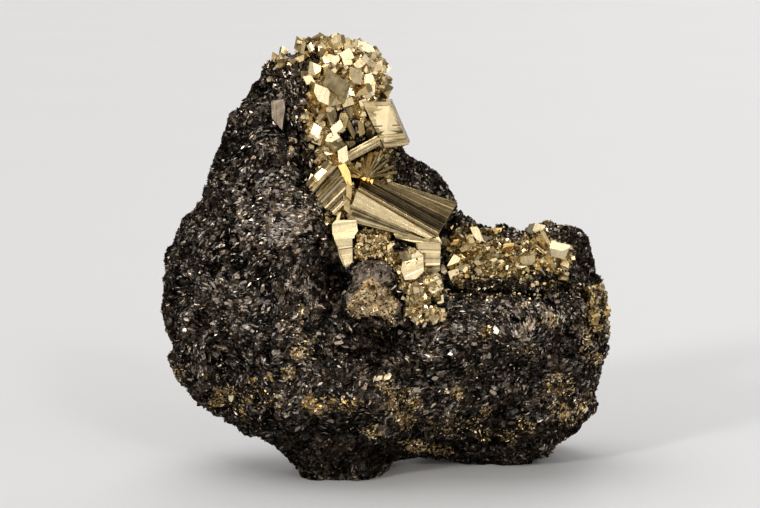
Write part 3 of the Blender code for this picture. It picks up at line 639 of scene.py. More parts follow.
def make_mass():
    """The CAD solid with its rough break worked out down to the single grain."""
    mesh = remeshed("matrix", MASS_VOXEL, 2)
    bulged = bulge(mesh)
    lift = rough(mesh, 1.1, 0.5)
    centres = face_centres(mesh)
    normals = face_normals(mesh)
    number = grains(centres / (CELL_SPAN * MM), 7)[1]
    # The zones' painted sheen and shade also lighten and darken the mass's own cells.
    sheen_shade_and_tone_gain = painted_sheen_shade_and_tone(centres, normals)
    rarity = np.clip(5.0 - 3.4 * sheen_shade_and_tone_gain, 1.2, 12.0)
    tone = drawn(number, 3)[:, 0] ** rarity * np.clip(0.45 + 0.4 * sheen_shade_and_tone_gain, 0.0, 1.0)
    golden = (drawn(number, 4)[:, 1] < 0.7 * golden_share(centres, normals)).astype(float)
    set_values(mesh, "tone", "FACE", np.clip(tone + 0.25 * golden, 0.0, 1.0))
    set_values(mesh, "gold", "FACE", golden)
    # How far each point sinks in, kept to paint shade in the hollows.
    set_values(mesh, "painted_hollow_shade", "POINT", np.clip(0.5 - lift * 0.9 - bulged * 0.25, 0.0, 1.0))
    mesh.materials.append(granular)
    mass = new_object("matrix_mass", mesh)
    done(mass, "pyrrhotite", "matrix")
    return mass


def unit(vectors):
    return vectors / np.linalg.norm(vectors, axis=1)[:, None]


def flakes(name, slot_name, base, count, seed, long_side, slenderness, tilt, weight=None, sides=5,
           gold=None, stray=0.35, lightest=1.0):
    """Makes a piece of grains that stand out of a mesh: flat-topped flakes, each a closed pyramid
    whose point is sunk. The long side, in millimetres, and the slenderness are ranges. stray is how
    far the flakes turn from the way that the grains run, gold the share of golden ones where it
    isn't the mass's own, and lightest the tone of the lightest."""
    draw = np.random.default_rng(seed)
    areas = face_areas(base)
    centres = face_centres(base)
    normals = face_normals(base)
    if weight is not None:
        areas = areas * weight(centres, normals)
    chosen = draw.choice(len(areas), count, p=areas / areas.sum())
    under = normals[chosen]
    centre = centres[chosen] + (draw.random((count, 3)) - 0.5) * FLAKE_JITTER * MM
    domain = grains(centre / (FLAKE_DOMAIN * MM), 61)[1] - 0.5
    normal = unit(under + domain * 3.6 * tilt + draw.normal(0.0, 0.6 * tilt, (count, 3)))
    lean = flow(centre, under) + draw.normal(0.0, stray, (count, 3))
    tangent = unit(lean - normal * np.einsum("ij,ij->i", lean, normal)[:, None])
    binormal = np.cross(normal, tangent)
    half = draw.uniform(*long_side, count) * 0.5 * MM
    narrow = half / draw.uniform(*slenderness, count)
    lift = draw.uniform(0.0, FLAKE_LIFT, count) * MM
    depth = narrow * 0.8 + FLAKE_ROOT * MM
    rings = []
    for corner in range(sides):
        angle = (corner + draw.uniform(-0.28, 0.28, count)) * 2.0 * math.pi / sides
        reach = draw.uniform(0.75, 1.15, count)
        rings.append(centre + normal * lift[:, None]
                     + tangent * (half * reach * np.cos(angle))[:, None]
                     + binormal * (narrow * reach * np.sin(angle))[:, None])
    rings.append(centre - normal * depth[:, None])
    points = np.stack(rings, axis=1).reshape(-1, 3)
    points[:, 2] = np.maximum(points[:, 2], FLAKE_FLOOR * MM)
    first = np.arange(count) * (sides + 1)
    faces = [tuple(start + k for k in range(sides)) for start in first]
    for k in range(sides):
        after = (k + 1) % sides
        faces += [(start + after, start + k, start + sides) for start in first]
    mesh = bpy.data.meshes.new(name)
    mesh.from_pydata(points.tolist(), [], faces)
    tone = np.minimum(tone_of(centre, under, draw), lightest)
    share = golden_share(centre, under) if gold is None else np.full(count, gold)
    is_gold = (draw.random(count) < share).astype(float)
    tone = np.clip(tone + is_gold * draw.uniform(-0.1, 0.8, count), 0.0, 1.0)
    set_values(mesh, "tone", "FACE", np.tile(tone, sides + 1))
    set_values(mesh, "gold", "FACE", np.tile(is_gold, sides + 1))
    set_values(mesh, "painted_hollow_shade", "POINT", np.zeros(len(points)))
    set_values(mesh, "plain", "POINT", np.ones(len(points)))
    mesh.materials.append(granular)
    done(new_object(name, mesh), slot_name)


def front_first(points, normals):
    """More grains where the photograph looks."""
    return np.where(normals[:, 1] < 0.2, 1.7, 1.0)


def make_mass_grains():
    """Small grains, long splinters, larger cleavage flakes and golden grains on the mass."""
    flakes("matrix_grains", "pyrrhotite", mass.data, 24000, 1, (0.28, 0.80), (1.2, 2.4), 0.26,
           front_first, 4)
    flakes("matrix_splinters", "pyrrhotite", mass.data, 33000, 3, (0.55, 2.0), (2.6, 5.4), 0.20,
           front_first, 4, stray=0.28)
    flakes("matrix_flakes", "pyrrhotite", mass.data, 3600, 2, (1.1, 2.3), (1.4, 2.6), 0.14,
           front_first, 6, lightest=0.55)
    flakes("golden_grains", "pyrrhotite", mass.data, 6000, 4, (0.25, 0.75), (1.0, 1.8), 0.45,
           golden_share, 4, gold=0.9)


mass = make_mass()
mass_tree = tree_of(mass.data)
make_mass_grains()

# Shapes of small crystals: the corners and faces of closed bodies of about unit size.
BOX_CORNERS = [(-0.5, -0.5, -0.5), (0.5, -0.5, -0.5), (0.5, 0.5, -0.5), (-0.5, 0.5, -0.5),
               (-0.5, -0.5, 0.5), (0.5, -0.5, 0.5), (0.5, 0.5, 0.5), (-0.5, 0.5, 0.5)]
BOX_FACES = [(0, 3, 2, 1), (4, 5, 6, 7), (0, 1, 5, 4), (1, 2, 6, 5), (2, 3, 7, 6), (3, 0, 4, 7)]
SIGNS = [(x, y, z) for x in (-1.0, 1.0) for y in (-1.0, 1.0) for z in (-1.0, 1.0)]


def hull_shape(corners):
    """The corners and outward faces of the solid with flat faces round some points."""
    bm = bmesh.new()
    for corner in corners:
        bm.verts.new(corner)
    result = bmesh.ops.convex_hull(bm, input=bm.verts)
    spare = [item for item in result["geom_interior"] if isinstance(item, bmesh.types.BMVert)]
    bmesh.ops.delete(bm, geom=spare, context="VERTS")
    bmesh.ops.dissolve_limit(bm, angle_limit=0.01, verts=bm.verts, edges=bm.edges)
    bmesh.ops.recalc_face_normals(bm, faces=bm.faces)
    bm.verts.index_update()
    points = np.array([vertex.co for vertex in bm.verts])
    faces = [[vertex.index for vertex in face.verts] for face in bm.faces]
    bm.free()
    return points, faces


def cut_cube(cut):
    """A cube with a share of each edge cut off at its corners."""
    corners = []
    for sign in SIGNS:
        for axis in range(3):
            corner = [0.5 * value for value in sign]
            corner[axis] *= 1.0 - cut
            corners.append(corner)
    return hull_shape(corners)


def chipped(seed, cuts, deepest):
    """A cube with some of its corners and edges cut off, each to its own depth."""
    draw = random.Random(seed)
    points, faces = cut_cube(0.06)
    for _ in range(cuts):
        toward = Vector([draw.choice((-1.0, 1.0)) * draw.uniform(0.35, 1.0) for _ in range(3)])
        if draw.random() < 0.4:
            toward[draw.randrange(3)] = 0.0
        toward.normalize()
        reach = max(Vector(point).dot(toward) for point in points)
        bm = bmesh.new()
        corners = [bm.verts.new(point) for point in points]
        for face in faces:
            bm.faces.new([corners[index] for index in face])
        bmesh.ops.bisect_plane(bm, geom=bm.verts[:] + bm.edges[:] + bm.faces[:],
                               plane_co=toward * (reach - deepest * draw.uniform(0.3, 1.0)),
                               plane_no=toward, clear_outer=True)
        points, faces = hull_shape([vertex.co.copy() for vertex in bm.verts])
        bm.free()
    return points, faces


def pyritohedron():
    """Twelve five-sided faces, as pyrite often has."""
    corners = [tuple(0.36 * value for value in sign) for sign in SIGNS]
    for first in (-1.0, 1.0):
        for second in (-1.0, 1.0):
            long, short = 0.54 * first, 0.27 * second
            corners += [(0.0, long, short), (long, short, 0.0), (short, 0.0, long)]
    return hull_shape(corners)


def octahedron_cut():
    """An octahedron with its points cut off."""
    corners = []
    for axis in range(3):
        for sign in (-1.0, 1.0):
            for other in ((axis + 1) % 3, (axis + 2) % 3):
                for turn in (-1.0, 1.0):
                    corner = [0.0, 0.0, 0.0]
                    corner[axis] = 0.56 * sign
                    corner[other] = 0.16 * turn
                    corners.append(corner)
    return hull_shape(corners)


SHAPES = {
    "cube": [chipped(seed, 3, 0.30) for seed in range(8)],
    "cut": [chipped(seed, 5, 0.45) for seed in range(10, 18)],
    "round": [pyritohedron(), chipped(20, 8, 0.30), chipped(21, 9, 0.30)],
    "point": [octahedron_cut()],
    "box": [(np.array(BOX_CORNERS), BOX_FACES), chipped(30, 2, 0.25), chipped(31, 2, 0.35)],
}


def turned(facing, roll):
    """A rotation whose z axis is a direction, rolled about it by some degrees from upright."""
    facing = Vector(facing).normalized()
    across = Vector((0.0, 0.0, 1.0)).cross(facing)
    if across.length < 0.05:
        across = Vector((1.0, 0.0, 0.0))
    across.normalize()
    upward = facing.cross(across)
    turn = Matrix((across, upward, facing)).transposed()
    return np.array(turn @ Matrix.Rotation(math.radians(roll), 3, "Z"))


def random_skew(draw, most):
    return np.array([[draw.uniform(-most, most) for _ in range(3)] for _ in range(3)])


def path_point(path, share):
    """The point at a share of the length of a path of straight legs."""
    legs = [(b - a).length for a, b in zip(path, path[1:])]
    left = share * sum(legs)
    for leg, start, end in zip(legs, path, path[1:]):
        if left <= leg:
            return start.lerp(end, left / leg)
        left -= leg
    return path[-1].copy()


def shifted(corners, dx, dy, dz):
    return [(x + dx, y + dy, z + dz) for x, y, z in corners]


EVEN = ((0.0, 0.0), (1.0, 0.0))


class Growth:
    """Closed bodies that make up one piece. tint runs from pale through brassy to golden, tarnish from
    clean to dark olive and dark to near black, each from 0 to 1; dark is partly painted shade."""

    def __init__(self):
        self.points = []
        self.local = []
        self.faces = []
        self.tints = []
        self.tarnishes = []
        self.darks = []
        self.count = 0

    def add(self, points, faces, local, tints, tarnishes, darks):
        """Adds a mesh, with shades for each face. local is its points along the crystal's axes."""
        self.points.append(points)
        self.local.append(local)
        self.faces += [tuple(self.count + index for index in face) for face in faces]
        self.tints += list(tints)
        self.tarnishes += list(tarnishes)
        self.darks += list(darks)
        self.count += len(points)

    def body(self, points, faces, tint, tarnish, local=None, dark=0.0):
        """Adds a closed body in one shade, turned right side out."""
        points = np.asarray(points, float)
        volume = 0.0
        for face in faces:
            for second, third in zip(face[1:], face[2:]):
                volume += np.dot(points[face[0]], np.cross(points[second], points[third]))
        if volume < 0.0:
            faces = [tuple(reversed(face)) for face in faces]
        number = len(faces)
        self.add(points, faces, points if local is None else local,
                 [tint] * number, [tarnish] * number, [dark] * number)

    def crystal(self, kind, centre, turn, size, tint, tarnish, skew=None):
        """Adds a crystal of one of the shapes: centre in metres and size in millimetres."""
        shapes = SHAPES[kind]
        corners, faces = shapes[len(self.points) % len(shapes)]
        if skew is not None:
            corners = corners @ (np.eye(3) + skew)
        local = corners * np.asarray(size)
        self.body(np.asarray(centre) + (local @ turn.T) * MM, faces, tint, tarnish, local)

    def solid(self, corners, tint, tarnish, dark=0.0):
        """Adds a body with flat faces round some corners in millimetres of the drawing frame."""
        points, faces = hull_shape([place(*corner) for corner in corners])
        self.body(points, faces, tint, tarnish, dark=dark)

    def plate(self, outline, through, facing, depth, tint, tarnish, sunk=0.0, shift=(0.0, 0.0, 0.0)):
        """Adds a plate whose front has an outline in pixels on a plane, and gives its front and
        normal. sunk is how far the front lies behind the plane, shift how far its back is moved."""
        face, forward = on_plane(outline, through, facing)
        face = [point - forward * sunk for point in face]
        back = [point - forward * depth + Vector(shift) for point in face]
        self.solid(face + back, tint, tarnish)
        return face, forward

    def strips(self, left, right, outward, count, rise, seed, tint, tarnish, sink=0.8, ends=0.04,
               vary=0.25, leans=(0.02, 0.02, 0.07), lines=0.0, bands=EVEN, dark=EVEN):
        """Adds striations: narrow strips side by side from one edge to the other, each with its own height,
        lean, ends and shade. left and right are paths of points in millimetres of the drawing frame. bands
        say how much more tarnished and dark how dark the strips are at each share of the way across; on the
        blade both paint its shade in bands. lines is the share of them that are dark, painted shade as of
        grooves."""
        draw = random.Random(seed)
        left = [Vector(point) for point in left]
        right = [Vector(point) for point in right]
        outward = Vector(outward).normalized()
        length = (right[0] - left[0]).length
        widths = [draw.uniform(0.35, 1.6) for _ in range(count)]
        total = sum(widths)
        start = 0.0
        for width in widths:
            low = start / total
            high = min((start + width) / total, 1.0)
            start += width
            near = draw.uniform(0.0, ends)
            far = 1.0 - draw.uniform(0.0, ends)
            height = draw.uniform(*rise)
            lean = draw.choice(leans) * draw.uniform(-1.0, 1.0)
            corners = []
            for lows, highs in ((-sink, -sink), (height - lean, height + lean)):
                for share, end, up in ((low, near, lows), (high, near, highs),
                                       (high, far, highs), (low, far, lows)):
                    point = path_point(left, share).lerp(path_point(right, share), end)
                    corners.append(place(*(point + outward * up)))
            local = np.array(BOX_CORNERS) * (draw.uniform(0.3, 1.0), length, 1.0) + draw.uniform(0, 50)
            middle = (low + high) / 2.0
            # Darker strips, in bands or one by one, are painted shade.
            painted_shade = float(np.interp(middle, *zip(*dark))) * draw.uniform(0.6, 1.1)
            if draw.random() < lines:
                painted_shade = draw.uniform(0.5, 0.9)
            shade = max(0.0, tint + draw.uniform(-0.12, 0.12))
            dirt = tarnish + float(np.interp(middle, *zip(*bands))) + draw.uniform(-vary, vary)
            self.body(np.array(corners), BOX_FACES, shade, min(1.0, max(0.0, dirt)), local,
                      min(painted_shade, 1.0))

    def strips_between(self, left, right, through, facing, *numbers, **settings):
        """Adds strips between two edges given in pixels on a plane."""
        path, forward = on_plane(left, through, facing)
        self.strips(path, on_plane(right, through, facing)[0], forward, *numbers, **settings)

    def piece(self, name, material, slot_name, *nodes):
        """Makes the piece and fixes it to the body."""
        mesh = bpy.data.meshes.new(name)
        mesh.from_pydata(np.concatenate(self.points).tolist(), [], self.faces)
        set_vectors(mesh, "local", "POINT", np.concatenate(self.local))
        set_values(mesh, "tint", "FACE", self.tints)
        set_values(mesh, "tarnish", "FACE", self.tarnishes)
        set_values(mesh, "dark", "FACE", self.darks)
        mesh.materials.append(material)
        done(new_object(name, mesh), slot_name, *nodes)


# The large crystals. Places are in millimetres of the drawing frame, or pixels where they are pairs.
def make_blade():
    """The large striated prism: its broad top, a pale narrow face below it and its lower side."""
    blade = Growth()
    left = [(-6.2, -13.4, 63.7), (-5.1, -10.4, 66.2), (0.7, -7.6, 65.3)]
    right = [(11.1, -13.6, 53.8), (15.8, -4.6, 60.2)]
    behind = [(-7.5, -12.2, 61.6), (1.4, -12.4, 55.7), (7.4, -12.0, 53.2), (-4.0, -4.0, 62.0),
              (2.0, -2.5, 56.0), (12.0, -3.0, 55.5), (3.0, -3.0, 63.5)]
    outward = (0.37, -0.68, 0.64)
    # Bands across the broad top: more tarnish and darker strips, painted shade in bands along it.
    tarnish_and_shade_bands = ((0.0, -0.3), (0.12, 0.0), (0.2, 0.5), (0.5, 0.65), (0.58, 0.1), (0.75, -0.1),
                 (0.85, 0.1), (1.0, 0.0))
    dark = ((0.0, 0.0), (0.08, 0.1), (0.16, 0.7), (0.26, 0.35), (0.34, 0.8), (0.48, 0.75),
            (0.56, 0.2), (0.66, 0.45), (0.74, 0.1), (1.0, 0.15))
    blade.solid([left[0], right[0], left[1], left[2], right[1]] + behind, 0.4, 0.5)
    blade.strips(left, right, outward, 52, (0.02, 0.12), 3, 0.42, 0.28, ends=0.015, vary=0.35,
                 leans=(0.01, 0.02, 0.04, 0.09), lines=0.12, bands=tarnish_and_shade_bands, dark=dark)
    pale_face = [(357, 191), (435, 236), (429, 239), (352, 205)]
    face, forward = blade.plate(pale_face, (2.45, -13.5, 58.75), (0.12, 0.15), 2.5, 0.1, 0.0)
    blade.strips([face[3], face[0]], [face[2], face[1]], forward, 10, (0.01, 0.06), 8, 0.30, 0.06,
                 ends=0.01, vary=0.15, leans=(0.005, 0.01), lines=0.1,
                 bands=((0.0, 0.3), (0.15, 0.0), (1.0, 0.0)))
    lower_side = [(353, 203), (431, 240), (428, 241), (392, 230), (348, 221), (346, 208)]
    face, forward = blade.plate(lower_side, (2.0, -13.0, 57.5), (0.05, -0.1), 2.5, 0.4, 0.5)
    blade.strips([face[4], face[0]], [face[3], face[1]], forward, 14, (0.01, 0.10), 9, 0.35, 0.40,
                 ends=0.05, vary=0.45, leans=(0.01, 0.03, 0.08), lines=0.3)
    blade.piece("blade", brass, "pyrite_pale", "blade_crystal")


def make_slab():
    """The pale plate, with a few fine steps across it."""
    slab = Growth()
    face = [(-5.2, -7.6, 82.8), (1.0, -5.4, 82.4), (5.0, -5.6, 73.1), (-0.2, -8.4, 72.6)]
    half_way = [(-2.6, -8.05, 77.4), (3.1, -5.5, 77.5)]
    outward = (0.34, -0.91, 0.24)
    slab.solid(face + shifted(face, 0.4, 4.6, 0.4), 0.20, 0.1)
    slab.strips([half_way[0], face[3]], [half_way[1], face[2]], outward, 20, (0.02, 0.14), 5, 0.34,
                0.62, sink=0.6, ends=0.004, vary=0.35, leans=(0.01, 0.03, 0.08), lines=0.10)
    slab.strips([face[0], half_way[0]], [face[1], half_way[1]], outward, 9, (0.03, 0.08), 6, 0.30,
                0.58, sink=0.6, ends=0.004, vary=0.15, leans=(0.01, 0.02))
    slab.piece("slab", brass, "pyrite_pale", "slab_crystal")


def make_bar():
    """The striped bar."""
    bar = Growth()
    face = [(-8.8, -11.4, 69.4), (-0.8, -8.0, 73.4), (-0.6, -7.2, 75.9), (-8.2, -10.4, 72.0)]
    bar.solid(face + shifted(face, 0.5, 5.0, 0.3), 0.4, 0.9, 0.75)
    bar.strips([face[0], face[3]], [face[1], face[2]], (0.3, -0.9, 0.25), 13, (-0.3, 0.5), 4, 0.35,
               0.45, ends=0.12, vary=0.3, leans=(0.01, 0.03), lines=0.72, dark=((0.0, 0.3), (1.0, 0.3)))
    bar.piece("bar", brass, "pyrite", "bar_crystal")


def make_block():
    """The bright upright block, with fine steps across its lower half."""
    block = Growth()
    through = (-9.0, -17.4, 53.0)
    upper, lower = (0.22, 0.24), (0.30, 0.16)
    upper_face = [(332, 224), (336, 220), (356, 220), (358, 231), (352, 239), (337, 244), (332.5, 234)]
    lower_face = [(336, 240), (352.5, 237), (352.8, 262), (347, 267), (344, 266), (340, 257)]
    # Steps: their left and right edges, facing, number, seed and how tarnished they are.
    steps = [([(338.5, 249), (345, 267)], [(352.5, 247), (350, 265)], lower, 12, 3, 0.15),
             ([(334, 240), (338.5, 249)], [(352.5, 238), (352.5, 247)], lower, 5, 4, 0.05),
             ([(332, 224), (334, 241)], [(357, 221), (355, 238)], upper, 6, 5, 0.0)]
    for outline, facing, sunk in ((upper_face, upper, 0.0), (lower_face, lower, 0.2)):
        block.plate(outline, through, facing, 5.0, 0.2, 0.2, sunk, (0.5, 0.0, 0.2))
    for left, right, facing, count, seed, shade in steps:
        block.strips_between(left, right, through, facing, count, (0.02, 0.10), seed, 0.22, 0.1 + shade,
                             ends=0.03, vary=0.15, leans=(0.01, 0.02, 0.06), lines=1.6 * shade)
    block.piece("block", brass, "pyrite_pale", "block_crystal")


def make_stepped():
    """The stepped block: thin plates on top, a column with steps across it, and lower steps."""
    stepped = Growth()
    through = (8.0, -12.3, 51.0)
    top, column, foot = (0.17, 0.3), (0.20, 0.05), (0.1, 0.0)
    top_face = [(391, 228), (437, 233), (442, 243), (418, 243), (396, 238)]
    column_face = [(416, 242), (441, 243), (440, 271), (421, 273)]
    foot_face = [(398, 252), (422, 251), (441, 262), (438, 276), (404, 280)]
    # Steps: their left and right edges, facing, number, seed and how tarnished they are.
    steps = [([(391, 228), (396, 238)], [(437, 233), (442, 243)], top, 8, 1, 0.35),
             ([(416, 243), (421, 272)], [(441, 244), (440, 271)], column, 15, 2, 0.15)]
    for outline, facing, sunk in ((top_face, top, 0.0), (column_face, column, 0.2), (foot_face, foot, 1.6)):
        stepped.plate(outline, through, facing, 5.0, 0.35, 0.5, sunk)
    for left, right, facing, count, seed, shade in steps:
        stepped.strips_between(left, right, through, facing, count, (0.0, 0.30), seed, 0.28, shade,
                               sink=0.7, ends=0.05, vary=0.4, leans=(0.02, 0.05, 0.10), lines=0.30)
    stepped.piece("stepped", brass, "pyrite", "stepped_crystal")


def make_fan():
    """The fan of striated prisms, with clean golden and pale ends."""
    fan = Growth()
    starts = [(-16.4, -14.2, 64.6), (-15.6, -14.9, 63.0), (-14.4, -15.4, 61.6), (-13.2, -15.7, 60.4),
              (-11.9, -15.8, 59.3)]
    ends = [(-11.6, -12.4, 69.8), (-9.8, -12.6, 69.0), (-8.6, -12.9, 67.4), (-7.8, -13.2, 65.6),
            (-7.4, -13.4, 63.6)]
    half_width = 1.05
    # Faces at the ends of the prisms: outline, facing, tint and tarnish.
    through = (-9.0, -15.0, 65.5)
    end_faces = [
        ([(338, 166), (345, 163), (350, 172), (352, 186), (346, 182)], (0.30, 0.25), 0.85, 0.05),
        ([(347, 180), (352, 188), (351, 200), (346, 196)], (0.10, 0.30), 0.60, 0.30),
        ([(343, 195), (350, 197), (349, 214), (344, 209)], (0.45, 0.10), 0.50, 0.55),
        ([(314, 176), (322, 168), (327, 171), (318, 181)], (0.30, 0.30), 0.20, 0.05),
    ]
    for index, (start, end) in enumerate(zip(starts, ends)):
        start = Vector(start)
        end = Vector(end)
        forward = Vector((-0.25, -0.95, 0.1 + 0.1 * (index % 3)))
        side = (end - start).cross(forward).normalized() * half_width
        fan.strips([start - side, start + side], [end - side, end + side], forward, 8, (0.5, 1.0),
                   20 + index, 0.30, 0.42, sink=2.0, ends=0.1, vary=0.5, leans=(0.03, 0.06, 0.12),
                   lines=0.3)
    for outline, facing, tint, tarnish in end_faces:
        fan.plate(outline, through, facing, 2.5, tint, tarnish)
    fan.piece("fan", brass, "pyrite", "fan_crystals")


def make_spray():
    """The spray of slender dark and golden prisms round one point."""
    spray = Growth()
    draw = random.Random(12)
    through = (-4.4, -11.6, 66.6)
    root = (366, 179)
    half_root = 1.5
    tips = [(350, 177), (348, 169), (350, 162), (354, 157), (359, 153), (364, 151), (369, 151), (374, 153)]
    # Needles to the right: the pixel of the tip, and the thickness in millimetres.
    needles = [(379, 153, 0.35), (384, 155, 0.3), (389, 160, 0.4), (394, 166, 0.3), (397, 172, 0.35)]
    # Golden crystals at the root: the place and size in millimetres.
    golden = [(-4.9, -12.3, 66.6, 1.3), (-3.9, -12.0, 66.1, 1.0), (-3.0, -11.8, 65.6, 0.8)]
    for index, (first, second) in enumerate(zip(tips, tips[1:])):
        facing = (draw.uniform(-0.5, 0.15), draw.uniform(0.5, 0.9))
        outline = [(root[0] - half_root, root[1]), first, second, (root[0] + half_root, root[1])]
        face, forward = spray.plate(outline, through, facing, 2.5, 0.9, 0.65)
        spray.strips([face[0], face[3]], [face[1], face[2]], forward, 5, (0.02, 0.25), 40 + index,
                     0.85, 0.45, sink=0.5, ends=0.15, vary=0.45)
    for px, py, thick in needles:
        start, end = on_plane([root, (px, py)], through, (0.0, 0.4))[0]
        spray.crystal("box", (start.lerp(end, 0.5) + SHIFT) * MM, turned(end - start, 20.0 + px),
                      (thick, thick * 2.0, (end - start).length), 0.5, 0.5)
    for x, y, z, size in golden:
        spray.crystal("cut", place(x, y, z), turned((0.3, -1.0, 0.3), size * 40.0),
                      (size, size, size), 1.0, 0.1)
    spray.piece("spray", brass, "pyrite", "spray_crystals")


# Crusts of small crystals. How far a crystal's face leans to the right and up.
FACINGS = {
    "K": (0.35, 0.28),      # bright towards the key light
    "L": (-0.46, 0.27),     # towards the fill light
    "F": (-0.19, -0.35),    # towards the floor
    "M": (0.05, 0.05),      # straight forward
    "D": (0.55, 0.75),      # up and away from the lights
}
KEY_DULL = 0.14             # tarnish that the crystals placed towards the key light have on top
PLACED_OUT = 0.18           # how far a placed crystal stands out, as a share of its depth
STREWN_OUT = 0.12           # the same for a strewn one
BAR_OUT = 0.5               # how far a thin bar stands out, in millimetres
LOOSE = 0.14                # how much the facing of a placed crystal varies
LOOSE_KEY = 0.07            # the same where it faces the key light
FRONT = 0.3                 # a face is on the front where its normal's y is less
SKIN_CELL = 0.9             # size of the cells of a crust's skin, in millimetres

# The upper and right edges of the shape in the photograph, in pixels: rows of x, y and of y, x.
# They were measured there at every ninth pixel. Some rows are left out and some were moved.
TOP_EDGE = [
    (265, 67), (274, 52), (283, 46), (292, 41), (301, 37), (319, 39), (337, 36), (355, 36), (364, 40),
    (373, 47), (382, 66), (391, 85), (400, 125), (427, 162), (454, 195), (463, 212), (472, 220),
    (481, 224), (526, 225), (544, 222), (553, 220), (562, 224), (580, 227), (589, 234), (598, 276),
]
RIGHT_EDGE = [
    (36, 362), (45, 371), (54, 379), (72, 384), (90, 391), (108, 394), (126, 401), (153, 415), (171, 436),
    (198, 456), (222, 580), (240, 592), (276, 598), (285, 601), (303, 606), (330, 608), (357, 608),
    (366, 600),
]


def held_in(points):
    """Points drawn in to the edges of the shape in the photograph."""
    px, py = pixels(points)
    points[:, 0] -= np.clip(px - np.interp(py, *zip(*RIGHT_EDGE)), 0.0, 20.0) * PX * MM
    points[:, 2] -= np.clip(np.interp(px, *zip(*TOP_EDGE)) - py, 0.0, 20.0) * PX * MM
    return points


def in_box(px, py, box):
    """Whether some pixels lie in a box: its left, right, upper and lower edges."""
    x1, x2, y1, y2 = box
    return (px > x1) & (px < x2) & (py > y1) & (py < y2)


class Crust(Growth):
    """The fine rough skin of a CAD crust, on which crystals are then placed."""

    def __init__(self, node, seed, pits=(), coarse=0.7, smoothing=8):
        super().__init__()
        self.mesh = remeshed(node, CRUST_VOXEL, smoothing)
        self.lift = rough(self.mesh, coarse, 0.8, keep_flat=False)
        points = positions(self.mesh)
        px, py = pixels(points)
        seen = vertex_normals(self.mesh)[:, 1] < FRONT
        for *spot, depth in pits:
            away = away_from(px, py, *spot)
            points[:, 1] += np.where(seen, np.exp(-away * away) * depth * MM, 0.0)
        move_to(self.mesh, held_in(points))
        self.tree = tree_of(self.mesh)
        self.draw = random.Random(seed)

    def skin(self, tint, tarnish, recolour=None, dark=None):
        """Adds the skin itself, each of its cells in its own shade of colour, and its crevices painted dark
        as shade.
        """
        points = positions(self.mesh)
        centres = face_centres(self.mesh)
        number = grains(centres / (SKIN_CELL * MM), 13)[1] - 0.5
        tints = np.clip(tint + number[:, 0] * 0.5, 0.0, 1.0)
        tarnishes = np.clip(tarnish + number[:, 1] * 0.75, 0.0, 1.0)
        if recolour is not None:
            tints, tarnishes = recolour(centres, tints, tarnishes)
        faces = [tuple(polygon.vertices) for polygon in self.mesh.polygons]
        # Where the skin sinks in, it is painted darker as shade.
        darks = np.clip(0.3 - self.lift[[face[0] for face in faces]] * 2.0, 0.0, 0.95)
        if dark is not None:
            darks = np.maximum(darks, dark(centres))
        self.add(points, faces, points / MM, tints, tarnishes, darks)

    def seen_at(self, px, py):
        """Where the crust or the mass, whichever is nearer, is seen at a pixel."""
        direction = ray(px, py)
        found = [tree.ray_cast(EYE, direction)[0] for tree in (self.tree, mass_tree)]
        found = [spot for spot in found if spot is not None]
        if not found:
            return self.tree.find_nearest(EYE + direction * (DISTANCE * MM))[0]
        return min(found, key=lambda spot: (spot - EYE).length)

    def crystals(self, rows):
        """Adds crystals placed as the photograph shows them: pixel, width and height in pixels,
        roll, facing, shape, tint and tarnish."""
        draw = self.draw
        for x, y, width, height, roll, facing, kind, tint, tarnish in rows:
            lean_x, lean_z = FACINGS[facing]
            loose = LOOSE
            if facing == "K":
                loose = LOOSE_KEY
                tarnish += KEY_DULL
            direction = leaning(lean_x + draw.uniform(-loose, loose), lean_z + draw.uniform(-loose, loose))
            skew = random_skew(draw, 0.25)
            skew[:2, 2] = 0.0
            deep = min(width, height) * PX * draw.uniform(0.8, 1.2)
            centre = self.seen_at(x, y) - ray(x, y) * (PLACED_OUT * deep * MM)
            self.crystal(kind, centre, turned(direction, roll), (width * PX, height * PX, deep),
                         tint, tarnish, skew)

    def bars(self, rows):
        """Adds thin bars between two pixels: both ends, thickness, tint and tarnish."""
        for x1, y1, x2, y2, thick, tint, tarnish in rows:
            start, end = [self.seen_at(x, y) - ray(x, y) * BAR_OUT * MM
                          for x, y in ((x1, y1), (x2, y2))]
            size = (thick, thick * 1.4, (end - start).length / MM)
            self.crystal("box", (start + end) / 2.0, turned(end - start, 30.0), size, tint, tarnish)

    def scatter(self, count, sizes, tints, tarnishes, keep, kinds=("cube", "cut", "box", "round"),
                lean=0.6, small=2.0, mesh=None, lit=0.0, bare=()):
        """Adds small crystals strewn over the crust, or another mesh, where a weight keeps them.
        Each is turned its own way, but for a share that face the key light. The larger small is,
        the more of them are small. Those that come to lie in a bare box are left out."""
        draw = self.draw
        mesh = mesh or self.mesh
        centres = face_centres(mesh)
        normals = face_normals(mesh)
        areas = face_areas(mesh) * keep(centres, normals)
        low, high = sizes
        for index in draw.choices(range(len(areas)), list(areas), k=count):
            edge = low + (high - low) * draw.random() ** small
            normal = Vector(normals[index])
            wild = Vector([draw.uniform(-lean, lean) for _ in range(3)])
            if draw.random() < lit and normal.y < 0.2:
                normal = leaning(*FACINGS["K"])
                wild = wild * 0.25
            turn = turned(normal + wild, draw.uniform(0.0, 90.0))
            size = [edge * draw.uniform(0.7, 1.25) for _ in range(3)]
            centre = Vector(centres[index]) + normal * (STREWN_OUT * edge * MM)
            skew = random_skew(draw, 0.2)
            kind = draw.choice(kinds)
            tint = draw.uniform(*tints)
            tarnish = draw.uniform(*tarnishes)
            px, py = pixels(np.array([centre]))
            if not any(in_box(px, py, box)[0] for box in bare):
                self.crystal(kind, centre, turn, size, tint, tarnish, skew)


